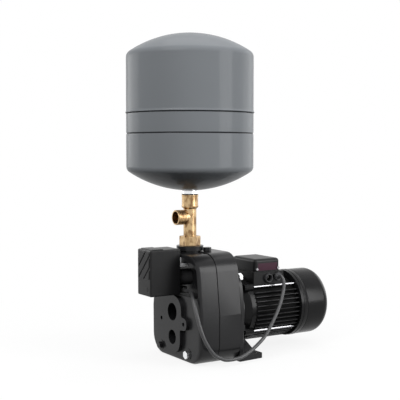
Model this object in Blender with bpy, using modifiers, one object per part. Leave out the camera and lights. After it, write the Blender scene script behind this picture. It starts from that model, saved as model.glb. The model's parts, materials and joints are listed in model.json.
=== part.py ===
"""Deep well jet pump with its pressure switch and diaphragm tank.

Metres, +Z up. +X runs along the motor shaft, from the suction ports to the fan cover.
X = 0, Y = 0 is the upright axis of the discharge port, the brass tee and the tank.
Z = 0 is the ground. Each sub-part is an object of its own.
"""

import math

import bmesh
import bpy
from mathutils import Matrix, Vector

# Clearances
SEAT = 0.0003
RUNNING = 0.0006
WELD = 1e-6

# Pump casing
CASING_FRONT_X = -0.038
CASING_STEP_X = 0.011
CASING_REAR_X = 0.064
CASING_TOP_Z = 0.236
CASING_TOP_HALF = 0.0892
CASING_WAIST_Z = 0.107
CASING_WAIST_HALF = 0.106
CASING_BASE_HALF = 0.1045
CASING_TOP_ROUND = 0.042
CASING_BASE_ROUND = 0.045
CASING_STEP = 0.0015
CASING_WALL = 0.008
REAR_FLANGE = 0.014
REAR_OPENING_TOP_Z = 0.186
DRAFT = 0.0008
FRONT_EDGE_ROUND = 0.008
RECESS_FLOOR_Z = 0.145
RECESS_BACK_X = -0.004
RECESS_BROW = 0.017
RECESS_SIDE = 0.006
RECESS_ROUND = 0.024
RECESS_CORNER = 0.004

# Ports of the casing
SUCTION_Z = 0.106
SUCTION_RADIUS = 0.0195
DRIVE_Z = 0.050
DRIVE_RADIUS = 0.016
PAD_THICK = 0.008
PAD_TOP_HALF = 0.038
PAD_LOW_HALF = 0.033
PAD_RIM = 0.017
PAD_FILLET = 0.004
EAR_Y = 0.0475
EAR_Z = 0.085
EAR_RADIUS = 0.013
EAR_SLOPE = 0.0015
EAR_HOLE_RADIUS = 0.0045
EAR_HOLE_DEPTH = 0.012
DISCHARGE_RADIUS = 0.0155
DISCHARGE_FLANGE_RADIUS = 0.030
DISCHARGE_FLANGE_THICK = 0.010
DISCHARGE_NECK = 0.004
DISCHARGE_NECK_RADIUS = 0.026

# Shaft line and pump wheel
SHAFT_Z = 0.100
SHAFT_RADIUS = 0.007
JOURNAL_RADIUS = 0.0085
ROTOR_SEAT_RADIUS = 0.011
SHAFT_FRONT_X = 0.0335
WHEEL_FRONT_X = 0.041
WHEEL_THICK = 0.017
WHEEL_RADIUS = 0.063
WHEEL_PLATE = 0.0025
WHEEL_EYE_RADIUS = 0.019
WHEEL_HUB_RADIUS = 0.012
WHEEL_NUT_RADIUS = 0.0095
WHEEL_NUT_THICK = 0.006
BLADE_COUNT = 6
BLADE_THICK = 0.003
BLADE_SWEEP = 75
DIFFUSER_RADIUS = 0.072
DIFFUSER_WALL = 0.003
DUCT_WALL = 0.005
DUCT_END_X = 0.029
SEAL_RADIUS = 0.0165
SEAL_FACE_X = 0.0635
SEAL_SEAT_DEPTH = 0.005

# Motor bracket and foot
GASKET_THICK = 0.001
BRACKET_THICK = 0.0095
BRACKET_TOP_Z = 0.196
BRACKET_TOP_ROUND = 0.040
BRACKET_EDGE = 0.0015
BRACKET_FOOT_HALF = 0.101
BRACKET_GROUND = 0.0005
FOOT_END_X = 0.133
FOOT_END_HALF = 0.094
FOOT_ROUND = 0.006
FOOT_THICK = 0.011
FOOT_HOLE_X = 0.118
FOOT_HOLE_Y = 0.070
FOOT_HOLE_RADIUS = 0.0055
GUSSET_RISE = 0.049
GUSSET_RUN = 0.0445
GUSSET_THICK = 0.010
GUSSET_INSET = 0.009
LANTERN_END_X = 0.108
LANTERN_RADIUS = 0.060
LANTERN_WALL = 0.007
BOLT_HIGH_Z = 0.182
BOLT_LOW_Z = 0.072
BOLT_RADIUS = 0.004
BOLT_HEAD_RADIUS = 0.009
BOLT_HEAD_THICK = 0.008
BOLT_REACH = 0.028
BOLT_BOSS_RADIUS = 0.010
BOLT_BOSS_DEPTH = 0.029
BOLT_INSET = 0.018

# Motor
FRAME_FRONT_X = 0.135
FRAME_REAR_X = 0.255
FRAME_RADIUS = 0.062
FRAME_WALL = 0.005
FIN_RADIUS = 0.0725
LOW_FIN_RADIUS = 0.0755
LOW_FIN_ANGLE = 18
FIN_PITCH = 8.2
FIN_ROOT = 0.0030
FIN_TIP = 0.0018
SHIELD_RADIUS = 0.068
SHIELD_HUB_RADIUS = 0.0605
SHIELD_RIM = 0.014
SHIELD_WALL = 0.006
REAR_SHIELD_THICK = 0.013
BEARING_RADIUS = 0.0175
BEARING_THICK = 0.011
CORE_FRONT_X = 0.153
CORE_REAR_X = 0.236
CORE_BORE = 0.0365
AIR_GAP = 0.0006
WINDING_REACH = 0.014
ROD_TOP_SIDE = 0.0482
ROD_TOP_RISE = 0.0514
ROD_LOW_SIDE = 0.0500
ROD_LOW_DROP = 0.0480
ROD_RADIUS = 0.0027
ROD_NUT_RADIUS = 0.0048
ROD_NUT_THICK = 0.004
LUG_RADIUS = 0.0085
LUG_LENGTH = 0.024
ROD_REACH = 0.012

# Fan and its cover
COVER_FRONT_X = 0.263
COVER_REAR_X = 0.341
COVER_RADIUS = 0.078
COVER_WALL = 0.002
COVER_ROUND = 0.020
GRILLE_IN = 0.020
GRILLE_OUT = 0.052
GRILLE_SLOTS = 14
GRILLE_SLOT_WIDTH = 0.0055
FAN_X = 0.296
FAN_RADIUS = 0.062
FAN_HUB_RADIUS = 0.015
FAN_WIDTH = 0.018
FAN_PLATE = 0.003
FAN_BLADES = 8

# Terminal box
BOX_FRONT_X = 0.141
BOX_REAR_X = 0.227
BOX_HALF = 0.045
BOX_FLOOR_Z = 0.150
BOX_TOP_Z = 0.1835
BOX_WALL = 0.003
BOX_ROUND = 0.003
LID_FRONT_X = 0.144
LID_REAR_X = 0.214
LID_OVERHANG = 0.001
LID_RISE = 0.0285
LID_ROUND = 0.007
LID_WALL = 0.003
LID_SEAL_THICK = 0.001
LID_SEAL_WIDTH = 0.004
LID_SCREW_RADIUS = 0.003
LID_SCREW_INSET = 0.0055
LID_SCREW_RISE = 0.006
LID_SCREW_THICK = 0.002
TERMINALS_INSET = 0.010
TERMINALS_RISE = 0.014
TERMINALS_NEAR_Y = -0.030
TERMINALS_FAR_Y = 0.002
CAPACITOR_RADIUS = 0.0125
CAPACITOR_Y = 0.024
OPEN_GLAND_X = 0.181
OPEN_GLAND_Z = 0.169
OPEN_GLAND_BORE = 0.0078
CABLE_GLAND_X = 0.209
CABLE_GLAND_Z = 0.171
GLAND_RADIUS = 0.0105
GLAND_REACH = 0.007
GLAND_NUT_REACH = 0.0045
GLAND_COLLAR_INSET = 0.0010
GLAND_TIP = 0.0012
GLAND_HOLE_RADIUS = 0.0056
CABLE_HOLE_SHIFT = 0.008

# Brass tee
TEE_RADIUS = 0.01435
TEE_WALL = 0.0030
TEE_SOCKET_RADIUS = 0.0185
TEE_SOCKET_RISE = 0.029
TEE_TOP_Z = 0.3631
BRANCH_Z = 0.313
BRANCH_END_X = -0.037
BRANCH_THREAD = 0.0235
BRANCH_RADIUS = 0.0165
BRANCH_NECK_RADIUS = 0.0135
UNION_RISE = 0.021
UNION_RADIUS = 0.0235
UNION_CHAMFER = 0.0066
TAIL_REACH = 0.016

# Diaphragm tank
TANK_RADIUS = 0.140
TANK_CROWN = 0.240
TANK_KNUCKLE = 0.020
TANK_HEIGHT = 0.344
TANK_WALL = 0.002
TANK_BEAD = 0.0018
TANK_BEAD_WIDTH = 0.008
TANK_GROOVE_RISE = 0.125
TANK_GROOVE = 0.0014
TANK_GROOVE_WIDTH = 0.005
TANK_SIDES = 32
CLAMP_WIDTH = 0.016
CLAMP_THICK = 0.003
MEMBRANE_THICK = 0.002
MEMBRANE_DEPTH = 0.055
NECK_RADIUS = 0.0178
NECK_RING_THICK = 0.007
NECK_STUB = 0.020
NECK_BORE_RADIUS = 0.0103
NECK_SEAL_THICK = 0.001
VALVE_RADIUS = 0.010
VALVE_STEM_RADIUS = 0.004
VALVE_STEM = 0.022
VALVE_PROUD = 0.0008

# Pressure switch
SWITCH_FRONT_X = -0.116
SWITCH_REAR_X = -0.0425
SWITCH_HALF = 0.0295
SWITCH_LOW_Z = 0.147
SWITCH_TOP_Z = 0.247
SWITCH_WALL = 0.0022
SWITCH_ROUND = 0.003
SWITCH_BASE_THICK = 0.0035
RIB_COUNT = 4
RIB_FIRST_Z = 0.1695
RIB_PITCH = 0.025
RIB_HEIGHT = 0.0185
RIB_SLOPE = 1.05
RIB_LOW_Z = 0.184
RIB_EDGE = 0.005
RIB_PROUD = 0.0016
LIP_FRONT = 0.006
LIP_REAR = 0.034
LIP_EDGE = 0.005
LIP_PROUD = 0.0016
COVER_SCREW_RADIUS = 0.0036
COVER_SCREW_SINK = 0.0015
COVER_SCREW_Y = -0.018
COVER_SCREW_Z = 0.162
NIPPLE_Z = 0.181
NIPPLE_RADIUS = 0.018
NIPPLE_BORE = 0.006
NIPPLE_CHAMFER = 0.001
ANGLE_LIFT = 0.0085
ANGLE_SHELF_DEPTH = 0.008
ANGLE_REACH = 0.022
ANGLE_THICK = 0.003
ANGLE_RISE = 0.0205
ANGLE_INNER_Y = 0.012
OUTLET_END_X = -0.020
OUTLET_HALF = 0.020
OUTLET_LOW_Z = 0.1482
OUTLET_TOP_Z = 0.1625
OUTLET_CORD_X = -0.0285
OUTLET_CORD_Z = 0.1548
PLUNGER_RADIUS = 0.004
PLUNGER_REACH = 0.026
PLUNGER_COLLAR_RADIUS = 0.0072
PLUNGER_COLLAR = 0.004
LEVER_ARM = 0.019
LEVER_THICK = 0.003
LEVER_HALF = 0.006
PIN_RADIUS = 0.0016
PIN_REACH = 0.011
PIN_EAR = 0.003

# Plugs
DRAIN_Y = -0.055
DRAIN_Z = 0.020
DRAIN_RADIUS = 0.009
SIDE_PLUG_Y = 0.062
SIDE_PLUG_Z = 0.020
SIDE_PLUG_RADIUS = 0.0078
PLUG_HEAD_THICK = 0.007
PLUG_SHANK = 0.005
PLUG_BOSS_RIM = 0.003
PRIMING_X = 0.027
PRIMING_Y = -0.029
PRIMING_RADIUS = 0.009
PRIMING_THICK = 0.009

# Cord
CORD_RADIUS = 0.0039
CORD_ROUTE = [
    (-0.0285, -0.029, 0.1548),
    (-0.0285, -0.034, 0.1548),
    (-0.0300, -0.047, 0.1555),
    (-0.0365, -0.066, 0.1550),
    (-0.0435, -0.083, 0.1475),
    (-0.0468, -0.0970, 0.1300),
    (-0.0466, -0.1080, 0.1075),
    (-0.0440, -0.1160, 0.0850),
    (-0.0376, -0.1200, 0.0645),
    (-0.0275, -0.1220, 0.0460),
    (-0.0130, -0.1220, 0.0285),
    (0.0040, -0.1210, 0.0190),
    (0.0213, -0.1195, 0.0136),
    (0.0540, -0.1165, 0.0137),
    (0.0826, -0.1130, 0.0224),
    (0.1120, -0.1090, 0.0385),
    (0.1339, -0.1050, 0.0548),
    (0.1505, -0.1010, 0.0742),
    (0.1673, -0.0970, 0.0960),
    (0.1819, -0.0925, 0.1184),
    (0.1935, -0.0865, 0.1410),
    (0.2010, -0.0790, 0.1560),
    (0.2060, -0.0700, 0.1655),
    (0.2085, -0.0610, 0.1705),
    (0.2090, -0.0560, 0.1710),
    (0.2090, -0.0527, 0.1710),
]

# Finishes: colour, roughness, metallic
FINISHES = {
    "cast_iron_paint": ((0.060, 0.060, 0.063), 0.45, 0.1),
    "motor_paint": ((0.020, 0.020, 0.022), 0.40, 0.1),
    "black_plastic": ((0.022, 0.022, 0.024), 0.50, 0.0),
    "switch_plastic": ((0.024, 0.024, 0.026), 0.55, 0.0),
    "tank_paint": ((0.200, 0.215, 0.230), 0.30, 0.1),
    "brass": ((0.600, 0.430, 0.190), 0.30, 1.0),
    "zinc": ((0.750, 0.760, 0.780), 0.30, 1.0),
    "steel": ((0.450, 0.450, 0.460), 0.35, 1.0),
    "copper": ((0.600, 0.250, 0.110), 0.40, 0.8),
    "rubber": ((0.030, 0.030, 0.030), 0.80, 0.0),
    "ceramic": ((0.700, 0.680, 0.620), 0.40, 0.0),
    "stainless": ((0.560, 0.570, 0.580), 0.25, 1.0),
    "aluminium": ((0.600, 0.610, 0.620), 0.35, 1.0),
    "cord_rubber": ((0.075, 0.075, 0.080), 0.60, 0.0),
}

# Places that follow from the sizes above
BRACKET_FRONT_X = CASING_REAR_X + GASKET_THICK + 2 * SEAT
BRACKET_REAR_X = BRACKET_FRONT_X + BRACKET_THICK
PAD_FACE_X = CASING_FRONT_X - PAD_THICK
FLANGE_TOP_Z = CASING_TOP_Z + DISCHARGE_NECK + DISCHARGE_FLANGE_THICK
WHEEL_REAR_X = WHEEL_FRONT_X + WHEEL_THICK
ROD_PLACES = [
    (side * y, SHAFT_Z + z)
    for side in (-1, 1)
    for y, z in ((ROD_TOP_SIDE, ROD_TOP_RISE), (ROD_LOW_SIDE, -ROD_LOW_DROP))
]
FRONT_BEARING_X = FRAME_FRONT_X - SEAT - SHIELD_WALL - BEARING_THICK
REAR_BEARING_X = FRAME_REAR_X + SEAT
TANK_BOTTOM_Z = TEE_TOP_Z + NECK_SEAL_THICK + NECK_RING_THICK + 3 * SEAT
TANK_TOP_Z = TANK_BOTTOM_Z + TANK_HEIGHT
TANK_GROOVE_Z = TANK_BOTTOM_Z + TANK_GROOVE_RISE
TANK_SEAM_Z = TANK_BOTTOM_Z + TANK_HEIGHT / 2
UNION_TOP_Z = FLANGE_TOP_Z + SEAT + UNION_RISE
LEVER_PIVOT_Z = NIPPLE_Z + LEVER_ARM
SWITCH_BASE_FRONT_X = SWITCH_REAR_X - SWITCH_BASE_THICK
PLUNGER_TIP_X = SWITCH_BASE_FRONT_X - PLUNGER_REACH
LEVER_X = PLUNGER_TIP_X - SEAT - LEVER_THICK / 2

# A prism or a turned shape is drawn flat, then stood along one of these
ALONG = {
    "X": Matrix(((0, 0, 1, 0), (1, 0, 0, 0), (0, 1, 0, 0), (0, 0, 0, 1))),
    "-Y": Matrix(((1, 0, 0, 0), (0, 0, -1, 0), (0, 1, 0, 0), (0, 0, 0, 1))),
    "Z": Matrix.Identity(4),
}

for old in list(bpy.data.objects):
    bpy.data.objects.remove(old, do_unlink=True)
PARTS = bpy.data.collections.new("deep_well_jet_pump")
CUTTERS = bpy.data.collections.new("cutters")
for group in (PARTS, CUTTERS):
    bpy.context.scene.collection.children.link(group)
CUTTERS.hide_render = True


def put(name, mesh):
    """An object in the cutters' collection, until finish() makes it a sub-part."""
    shape = bpy.data.objects.new(name, mesh)
    shape.hide_render = True
    shape.display_type = "WIRE"
    CUTTERS.objects.link(shape)
    return shape


def finish(shape, name, look, origin=(0, 0, 0)):
    """Makes a shape a sub-part with its own material, and its origin where it turns or slides."""
    shape.name = name
    shape.hide_render = False
    shape.display_type = "TEXTURED"
    CUTTERS.objects.unlink(shape)
    PARTS.objects.link(shape)
    colour, roughness, metallic = FINISHES[look]
    material = bpy.data.materials.new(name + "_" + look)
    material.use_nodes = True
    shader = material.node_tree.nodes["Principled BSDF"]
    shader.inputs["Base Color"].default_value = (*colour, 1)
    shader.inputs["Roughness"].default_value = roughness
    shader.inputs["Metallic"].default_value = metallic
    shape.data.materials.clear()
    shape.data.materials.append(material)
    shape.data.shade_smooth()
    shape.data.set_sharp_from_angle(angle=math.radians(35))
    if any(origin):
        shape.data.transform(Matrix.Translation(-Vector(origin)))
        shape.location = origin
    return shape


def as_mesh(shape):
    """The mesh that a curve or a modifier makes, closed by merging its doubled points."""
    bpy.context.scene.collection.objects.link(shape)
    graph = bpy.context.evaluated_depsgraph_get()
    mesh = bpy.data.meshes.new_from_object(shape.evaluated_get(graph))
    form = bmesh.new()
    form.from_mesh(mesh)
    bmesh.ops.remove_doubles(form, verts=form.verts, dist=WELD)
    bmesh.ops.recalc_face_normals(form, faces=form.faces)
    form.to_mesh(mesh)
    form.free()
    bpy.data.objects.remove(shape)
    return mesh


def prism(name, outlines, low, high, along="Z"):
    """A flat outline, with any holes in it, as thick as low to high."""
    curve = bpy.data.curves.new(name, "CURVE")
    curve.dimensions = "2D"
    curve.fill_mode = "BOTH"
    curve.extrude = (high - low) / 2
    for outline in outlines:
        spline = curve.splines.new("POLY")
        spline.points.add(len(outline) - 1)
        for point, (u, v) in zip(spline.points, outline):
            point.co = (u, v, 0, 1)
        spline.use_cyclic_u = True
    mesh = as_mesh(bpy.data.objects.new(name, curve))
    mesh.transform(ALONG[along] @ Matrix.Translation((0, 0, (low + high) / 2)))
    return put(name, mesh)


def turned(name, profile, along="Z", at=(0, 0, 0), sides=16):
    """A profile of (radius, height) points turned about the line through at."""
    mesh = bpy.data.meshes.new(name)
    count = len(profile)
    edges = [(i, i + 1) for i in range(count - 1)]
    if profile[0][0] > 0 or profile[-1][0] > 0:
        edges.append((count - 1, 0))
    mesh.from_pydata([(r, 0, h) for r, h in profile], edges, [])
    shape = bpy.data.objects.new(name, mesh)
    screw = shape.modifiers.new("turn", "SCREW")
    screw.steps = sides
    screw.render_steps = sides
    screw.use_merge_vertices = True
    screw.merge_threshold = WELD
    solid = as_mesh(shape)
    solid.transform(Matrix.Translation(at) @ ALONG[along])
    return put(name, solid)


def rod(name, radius, low, high, along="X", at=(0, 0, 0), sides=16, tip=None):
    """A cylinder, or a cone where the tip's radius differs, from low to high."""
    mesh = bpy.data.meshes.new(name)
    form = bmesh.new()
    bmesh.ops.create_cone(
        form,
        cap_ends=True,
        segments=sides,
        radius1=radius,
        radius2=radius if tip is None else tip,
        depth=high - low,
        matrix=Matrix.Translation((0, 0, (low + high) / 2)),
    )
    form.to_mesh(mesh)
    form.free()
    mesh.transform(Matrix.Translation(at) @ ALONG[along])
    return put(name, mesh)


def block(name, low, high, rounding=0.0, steps=2, edges=None):
    """A box from its low corner to its high one, with rounded edges where asked."""
    mesh = bpy.data.meshes.new(name)
    form = bmesh.new()
    middle = (Vector(low) + Vector(high)) / 2
    size = Vector(high) - Vector(low)
    place = Matrix.Translation(middle) @ Matrix.Diagonal((*size, 1))
    bmesh.ops.create_cube(form, size=1, matrix=place)
    if rounding:
        chosen = [edge for edge in form.edges if edges is None or edges(edge)]
        bmesh.ops.bevel(
            form,
            geom=chosen,
            offset=rounding,
            segments=steps,
            profile=0.5,
            affect="EDGES",
        )
    form.to_mesh(mesh)
    form.free()
    return put(name, mesh)


def upright(edge):
    """Whether an edge runs along Z."""
    return abs(edge.verts[0].co.z - edge.verts[1].co.z) > WELD


def soften(shape, radius, chosen, steps=2):
    """Rounds the edges that chosen(edge) picks on a shape."""
    form = bmesh.new()
    form.from_mesh(shape.data)
    geometry = [edge for edge in form.edges if chosen(edge)]
    bmesh.ops.bevel(
        form, geom=geometry, offset=radius, segments=steps, profile=0.5, affect="EDGES"
    )
    form.to_mesh(shape.data)
    form.free()
    return shape


def on_plane_x(x):
    """Picks the outline edges of a prism's end at x, not the edges inside that end."""

    def chosen(edge):
        flat = all(abs(vert.co.x - x) < WELD for vert in edge.verts)
        return flat and any(abs(face.normal.x) < 0.5 for face in edge.link_faces)

    return chosen


def boolean(shape, operation, others):
    for other in others:
        step = shape.modifiers.new(operation.lower(), "BOOLEAN")
        step.operation = operation
        step.object = other
    return shape


def cut(shape, *others):
    return boolean(shape, "DIFFERENCE", others)


def fuse(shape, *others):
    return boolean(shape, "UNION", others)


def rounded(corners):
    """A closed outline through corners (u, v, radius), each one rounded by an arc."""
    outline = []
    for i, (u, v, radius) in enumerate(corners):
        here = Vector((u, v))
        if radius <= 0:
            outline.append(tuple(here))
            continue
        before = (Vector(corners[i - 1][:2]) - here).normalized()
        after = (Vector(corners[(i + 1) % len(corners)][:2]) - here).normalized()
        half = before.angle(after) / 2
        centre = here + (before + after).normalized() * radius / math.sin(half)
        first = here + before * radius / math.tan(half) - centre
        last = here + after * radius / math.tan(half) - centre
        start = math.atan2(first.y, first.x)
        turn = math.atan2(last.y, last.x) - start
        turn = (turn + math.pi) % (2 * math.pi) - math.pi
        steps = max(2, round(2 + radius / 0.009))
        for k in range(steps + 1):
            angle = start + turn * k / steps
            point = centre + Vector((math.cos(angle), math.sin(angle))) * radius
            outline.append(tuple(point))
    return outline


def both_sides(corners):
    """Corners on the +u side, top to bottom, and their mirror image going back up."""
    return corners + [(-u, v, radius) for u, v, radius in reversed(corners)]


def circle(radius, u=0.0, v=0.0, sides=24, start=0.0):
    turn = 2 * math.pi / sides
    return [
        (u + radius * math.cos(start + turn * i), v + radius * math.sin(start + turn * i))
        for i in range(sides)
    ]


def between(outline, low, high):
    """The part of a convex outline between two heights."""
    for limit, keep in ((low, 1), (high, -1)):
        kept = []
        for here, after in zip(outline, outline[1:] + outline[:1]):
            inside = (here[1] - limit) * keep >= 0
            if inside:
                kept.append(here)
            if inside != ((after[1] - limit) * keep >= 0):
                share = (limit - here[1]) / (after[1] - here[1])
                kept.append((here[0] + (after[0] - here[0]) * share, limit))
        outline = kept
    return outline


def casing_half(z):
    """Half the casing's width at a height between its top round and its base round."""
    if z >= CASING_WAIST_Z:
        share = (CASING_TOP_Z - z) / (CASING_TOP_Z - CASING_WAIST_Z)
        return CASING_TOP_HALF + (CASING_WAIST_HALF - CASING_TOP_HALF) * share
    share = z / CASING_WAIST_Z
    return CASING_BASE_HALF + (CASING_WAIST_HALF - CASING_BASE_HALF) * share


def low_corners(grow):
    """The casing's waist and base corners, the part of its outline under any top."""
    return [
        (CASING_WAIST_HALF + grow, CASING_WAIST_Z, 0),
        (CASING_BASE_HALF + grow, -min(grow, 0), CASING_BASE_ROUND + grow),
    ]


def casing_outline(grow=0.0):
    top = (CASING_TOP_HALF + grow, CASING_TOP_Z + grow, CASING_TOP_ROUND + grow)
    return rounded(both_sides([top, *low_corners(grow)]))


def room_outline(top_z, grow, corner):
    """The casing's outline up to a lower top."""
    top = (casing_half(top_z) + grow, top_z, corner)
    return rounded(both_sides([top, *low_corners(grow)]))


def bolt_places():
    """The four bolts that hold the bracket, in from the casing's sides."""
    places = []
    for z in (BOLT_HIGH_Z, BOLT_LOW_Z):
        y = casing_half(z) - BOLT_INSET
        places += [(-y, z), (y, z)]
    return places


def port_pad():
    """The raised pad round both ports, with an ear on each side for the jet pipe flange."""
    ear_edge = EAR_Y + EAR_RADIUS
    ear_round = EAR_RADIUS * 0.9
    outline = rounded(
        both_sides(
            [
                (PAD_TOP_HALF, SUCTION_Z + SUCTION_RADIUS + PAD_RIM, PAD_TOP_HALF * 0.8),
                (PAD_TOP_HALF, EAR_Z + EAR_RADIUS + EAR_SLOPE, PAD_FILLET),
                (ear_edge, EAR_Z + EAR_RADIUS, ear_round),
                (ear_edge, EAR_Z - EAR_RADIUS, ear_round),
                (PAD_LOW_HALF, EAR_Z - EAR_RADIUS - EAR_SLOPE, PAD_FILLET),
                (PAD_LOW_HALF, DRIVE_Z - DRIVE_RADIUS - PAD_RIM, PAD_LOW_HALF * 0.8),
            ]
        )
    )
    return prism("pad", [outline], PAD_FACE_X, CASING_FRONT_X + 0.002, "X")


def casing_rooms():
    """The recess behind the switch and the water rooms: front, rear, and the bracket's opening."""
    recess_top = CASING_TOP_Z - RECESS_BROW
    recess_outline = rounded(
        both_sides(
            [
                (casing_half(recess_top) - RECESS_SIDE, recess_top, RECESS_ROUND),
                (casing_half(RECESS_FLOOR_Z) - RECESS_SIDE, RECESS_FLOOR_Z, RECESS_CORNER),
            ]
        )
    )
    recess = prism("recess", [recess_outline], CASING_FRONT_X - 0.02, RECESS_BACK_X, "X")
    room_front_x = RECESS_BACK_X + CASING_WALL
    room_rear_x = CASING_REAR_X - CASING_WALL
    room = prism("room", [casing_outline(-CASING_WALL)], room_front_x, room_rear_x, "X")
    low_room = prism(
        "low_room",
        [room_outline(RECESS_FLOOR_Z - CASING_WALL, -CASING_WALL - DRAFT, 0.006)],
        CASING_FRONT_X + CASING_WALL,
        room_front_x + 0.001,
        "X",
    )
    opening = prism(
        "opening",
        [room_outline(REAR_OPENING_TOP_Z, -REAR_FLANGE, BRACKET_TOP_ROUND)],
        room_rear_x - 0.001,
        CASING_REAR_X + 0.02,
        "X",
    )
    return recess, room, low_room, opening


def casing_holes():
    """The bosses inside the casing, and the holes through its walls."""
    bosses = []
    holes = []
    front_x = CASING_FRONT_X
    for y, z in bolt_places():
        place = (0, y, z)
        boss_low = CASING_REAR_X - BOLT_BOSS_DEPTH
        bosses.append(rod("boss", BOLT_BOSS_RADIUS, boss_low, CASING_REAR_X - DRAFT, at=place, sides=10))
        hole_low = BRACKET_REAR_X - BOLT_REACH - 0.002
        holes.append(rod("hole", BOLT_RADIUS + SEAT, hole_low, CASING_REAR_X + 0.01, at=place, sides=12))
    drain = (DRAIN_Y, DRAIN_Z, DRAIN_RADIUS)
    side_plug = (SIDE_PLUG_Y, SIDE_PLUG_Z, SIDE_PLUG_RADIUS)
    for y, z, radius in (drain, side_plug):
        boss_end = front_x + CASING_WALL + 0.006
        boss_place = (0, y, z + 0.001)
        boss_radius = radius + PLUG_BOSS_RIM
        bosses.append(rod("plug_boss", boss_radius, front_x - 0.001, boss_end, at=boss_place, sides=20))
        hole_end = boss_end + 0.01
        holes.append(rod("plug_hole", PLUG_SHANK + SEAT, front_x - 0.01, hole_end, at=(0, y, z), sides=12))
    for y in (-EAR_Y, EAR_Y):
        hole_end = PAD_FACE_X + EAR_HOLE_DEPTH
        place = (0, y, EAR_Z)
        holes.append(rod("ear_hole", EAR_HOLE_RADIUS, PAD_FACE_X - 0.01, hole_end, at=place, sides=12))
    wall_low = RECESS_BACK_X - 0.01
    wall_high = RECESS_BACK_X + CASING_WALL + 0.01
    nipple_place = (0, 0, NIPPLE_Z)
    holes.append(rod("nipple_hole", NIPPLE_RADIUS + SEAT, wall_low, wall_high, at=nipple_place, sides=24))
    plug_place = (PRIMING_X, PRIMING_Y, 0)
    roof_low = CASING_TOP_Z - 0.02
    holes.append(rod("priming_hole", PLUG_SHANK + SEAT, roof_low, CASING_TOP_Z + 0.02, "Z", plug_place, 16))
    return bosses, holes


def make_casing():
    front = prism("front", [casing_outline()], CASING_FRONT_X, CASING_STEP_X, "X")
    soften(front, FRONT_EDGE_ROUND, on_plane_x(CASING_FRONT_X), 2)
    rear = prism("rear", [casing_outline(CASING_STEP)], CASING_STEP_X - 0.001, CASING_REAR_X, "X")
    suction_place = (0, 0, SUCTION_Z)
    duct_radius = SUCTION_RADIUS + DUCT_WALL
    duct = rod("duct", duct_radius, CASING_FRONT_X + 0.002, DUCT_END_X, at=suction_place, sides=24)
    outside_x = PAD_FACE_X - 0.01
    suction = rod("suction", SUCTION_RADIUS, outside_x, DUCT_END_X + 0.01, at=suction_place, sides=24)
    drive_end = CASING_FRONT_X + CASING_WALL + 0.01
    drive = rod("drive", DRIVE_RADIUS, outside_x, drive_end, at=(0, 0, DRIVE_Z), sides=24)
    flange_low = FLANGE_TOP_Z - DISCHARGE_FLANGE_THICK
    neck = rod("neck", DISCHARGE_NECK_RADIUS, CASING_TOP_Z - 0.006, FLANGE_TOP_Z - 0.002, "Z", sides=24)
    flange = rod("flange", DISCHARGE_FLANGE_RADIUS, flange_low, FLANGE_TOP_Z, "Z", sides=28)
    bore_low = CASING_TOP_Z - CASING_WALL - 0.002
    discharge = rod("discharge", DISCHARGE_RADIUS, bore_low, FLANGE_TOP_Z + 0.01, "Z", sides=28)
    bosses, holes = casing_holes()
    fuse(front, rear)
    cut(front, *casing_rooms())
    fuse(front, duct, port_pad(), neck, flange, *bosses)
    cut(front, suction, drive, discharge, *holes)
    finish(front, "pump_casing", "cast_iron_paint")


def make_plug(name, radius, y, z, look):
    """A hexagon plug in the casing's front wall, on its boss."""
    seat = CASING_FRONT_X - 0.001 - SEAT
    shank_end = CASING_FRONT_X + CASING_WALL
    head = rod("head", radius, seat - PLUG_HEAD_THICK, seat, at=(0, y, z), sides=6)
    shank = rod("shank", PLUG_SHANK, seat - 0.001, shank_end, at=(0, y, z), sides=12)
    finish(fuse(head, shank), name, look)


def make_priming_plug():
    seat = CASING_TOP_Z + CASING_STEP + SEAT
    place = (PRIMING_X, PRIMING_Y, 0)
    head = rod("head", PRIMING_RADIUS, seat, seat + PRIMING_THICK, "Z", place, 6)
    shank = rod("shank", PLUG_SHANK, CASING_TOP_Z - CASING_WALL, seat + 0.001, "Z", place, 16)
    finish(fuse(head, shank), "priming_plug", "cast_iron_paint")


def bracket_outline(grow=0.0):
    """The plate covers the casing's rear opening, and runs down to the ground as a foot."""
    return rounded(
        both_sides(
            [
                (casing_half(BRACKET_TOP_Z) + grow, BRACKET_TOP_Z + grow, BRACKET_TOP_ROUND),
                (CASING_WAIST_HALF + grow, CASING_WAIST_Z, 0),
                (BRACKET_FOOT_HALF + grow, BRACKET_GROUND, 0),
            ]
        )
    )


def make_casing_gasket():
    grow = -CASING_WALL / 2
    outer = room_outline(BRACKET_TOP_Z + grow, grow, BRACKET_TOP_ROUND)
    inner = room_outline(REAR_OPENING_TOP_Z - REAR_FLANGE, -2 * REAR_FLANGE, BRACKET_TOP_ROUND / 2)
    low = CASING_REAR_X + SEAT
    gasket = prism("gasket", [outer, inner], low, low + GASKET_THICK, "X")
    for y, z in bolt_places():
        cut(gasket, rod("hole", BOLT_RADIUS + SEAT, low - 0.01, low + 0.01, at=(0, y, z), sides=12))
    finish(gasket, "casing_gasket", "rubber")


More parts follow.
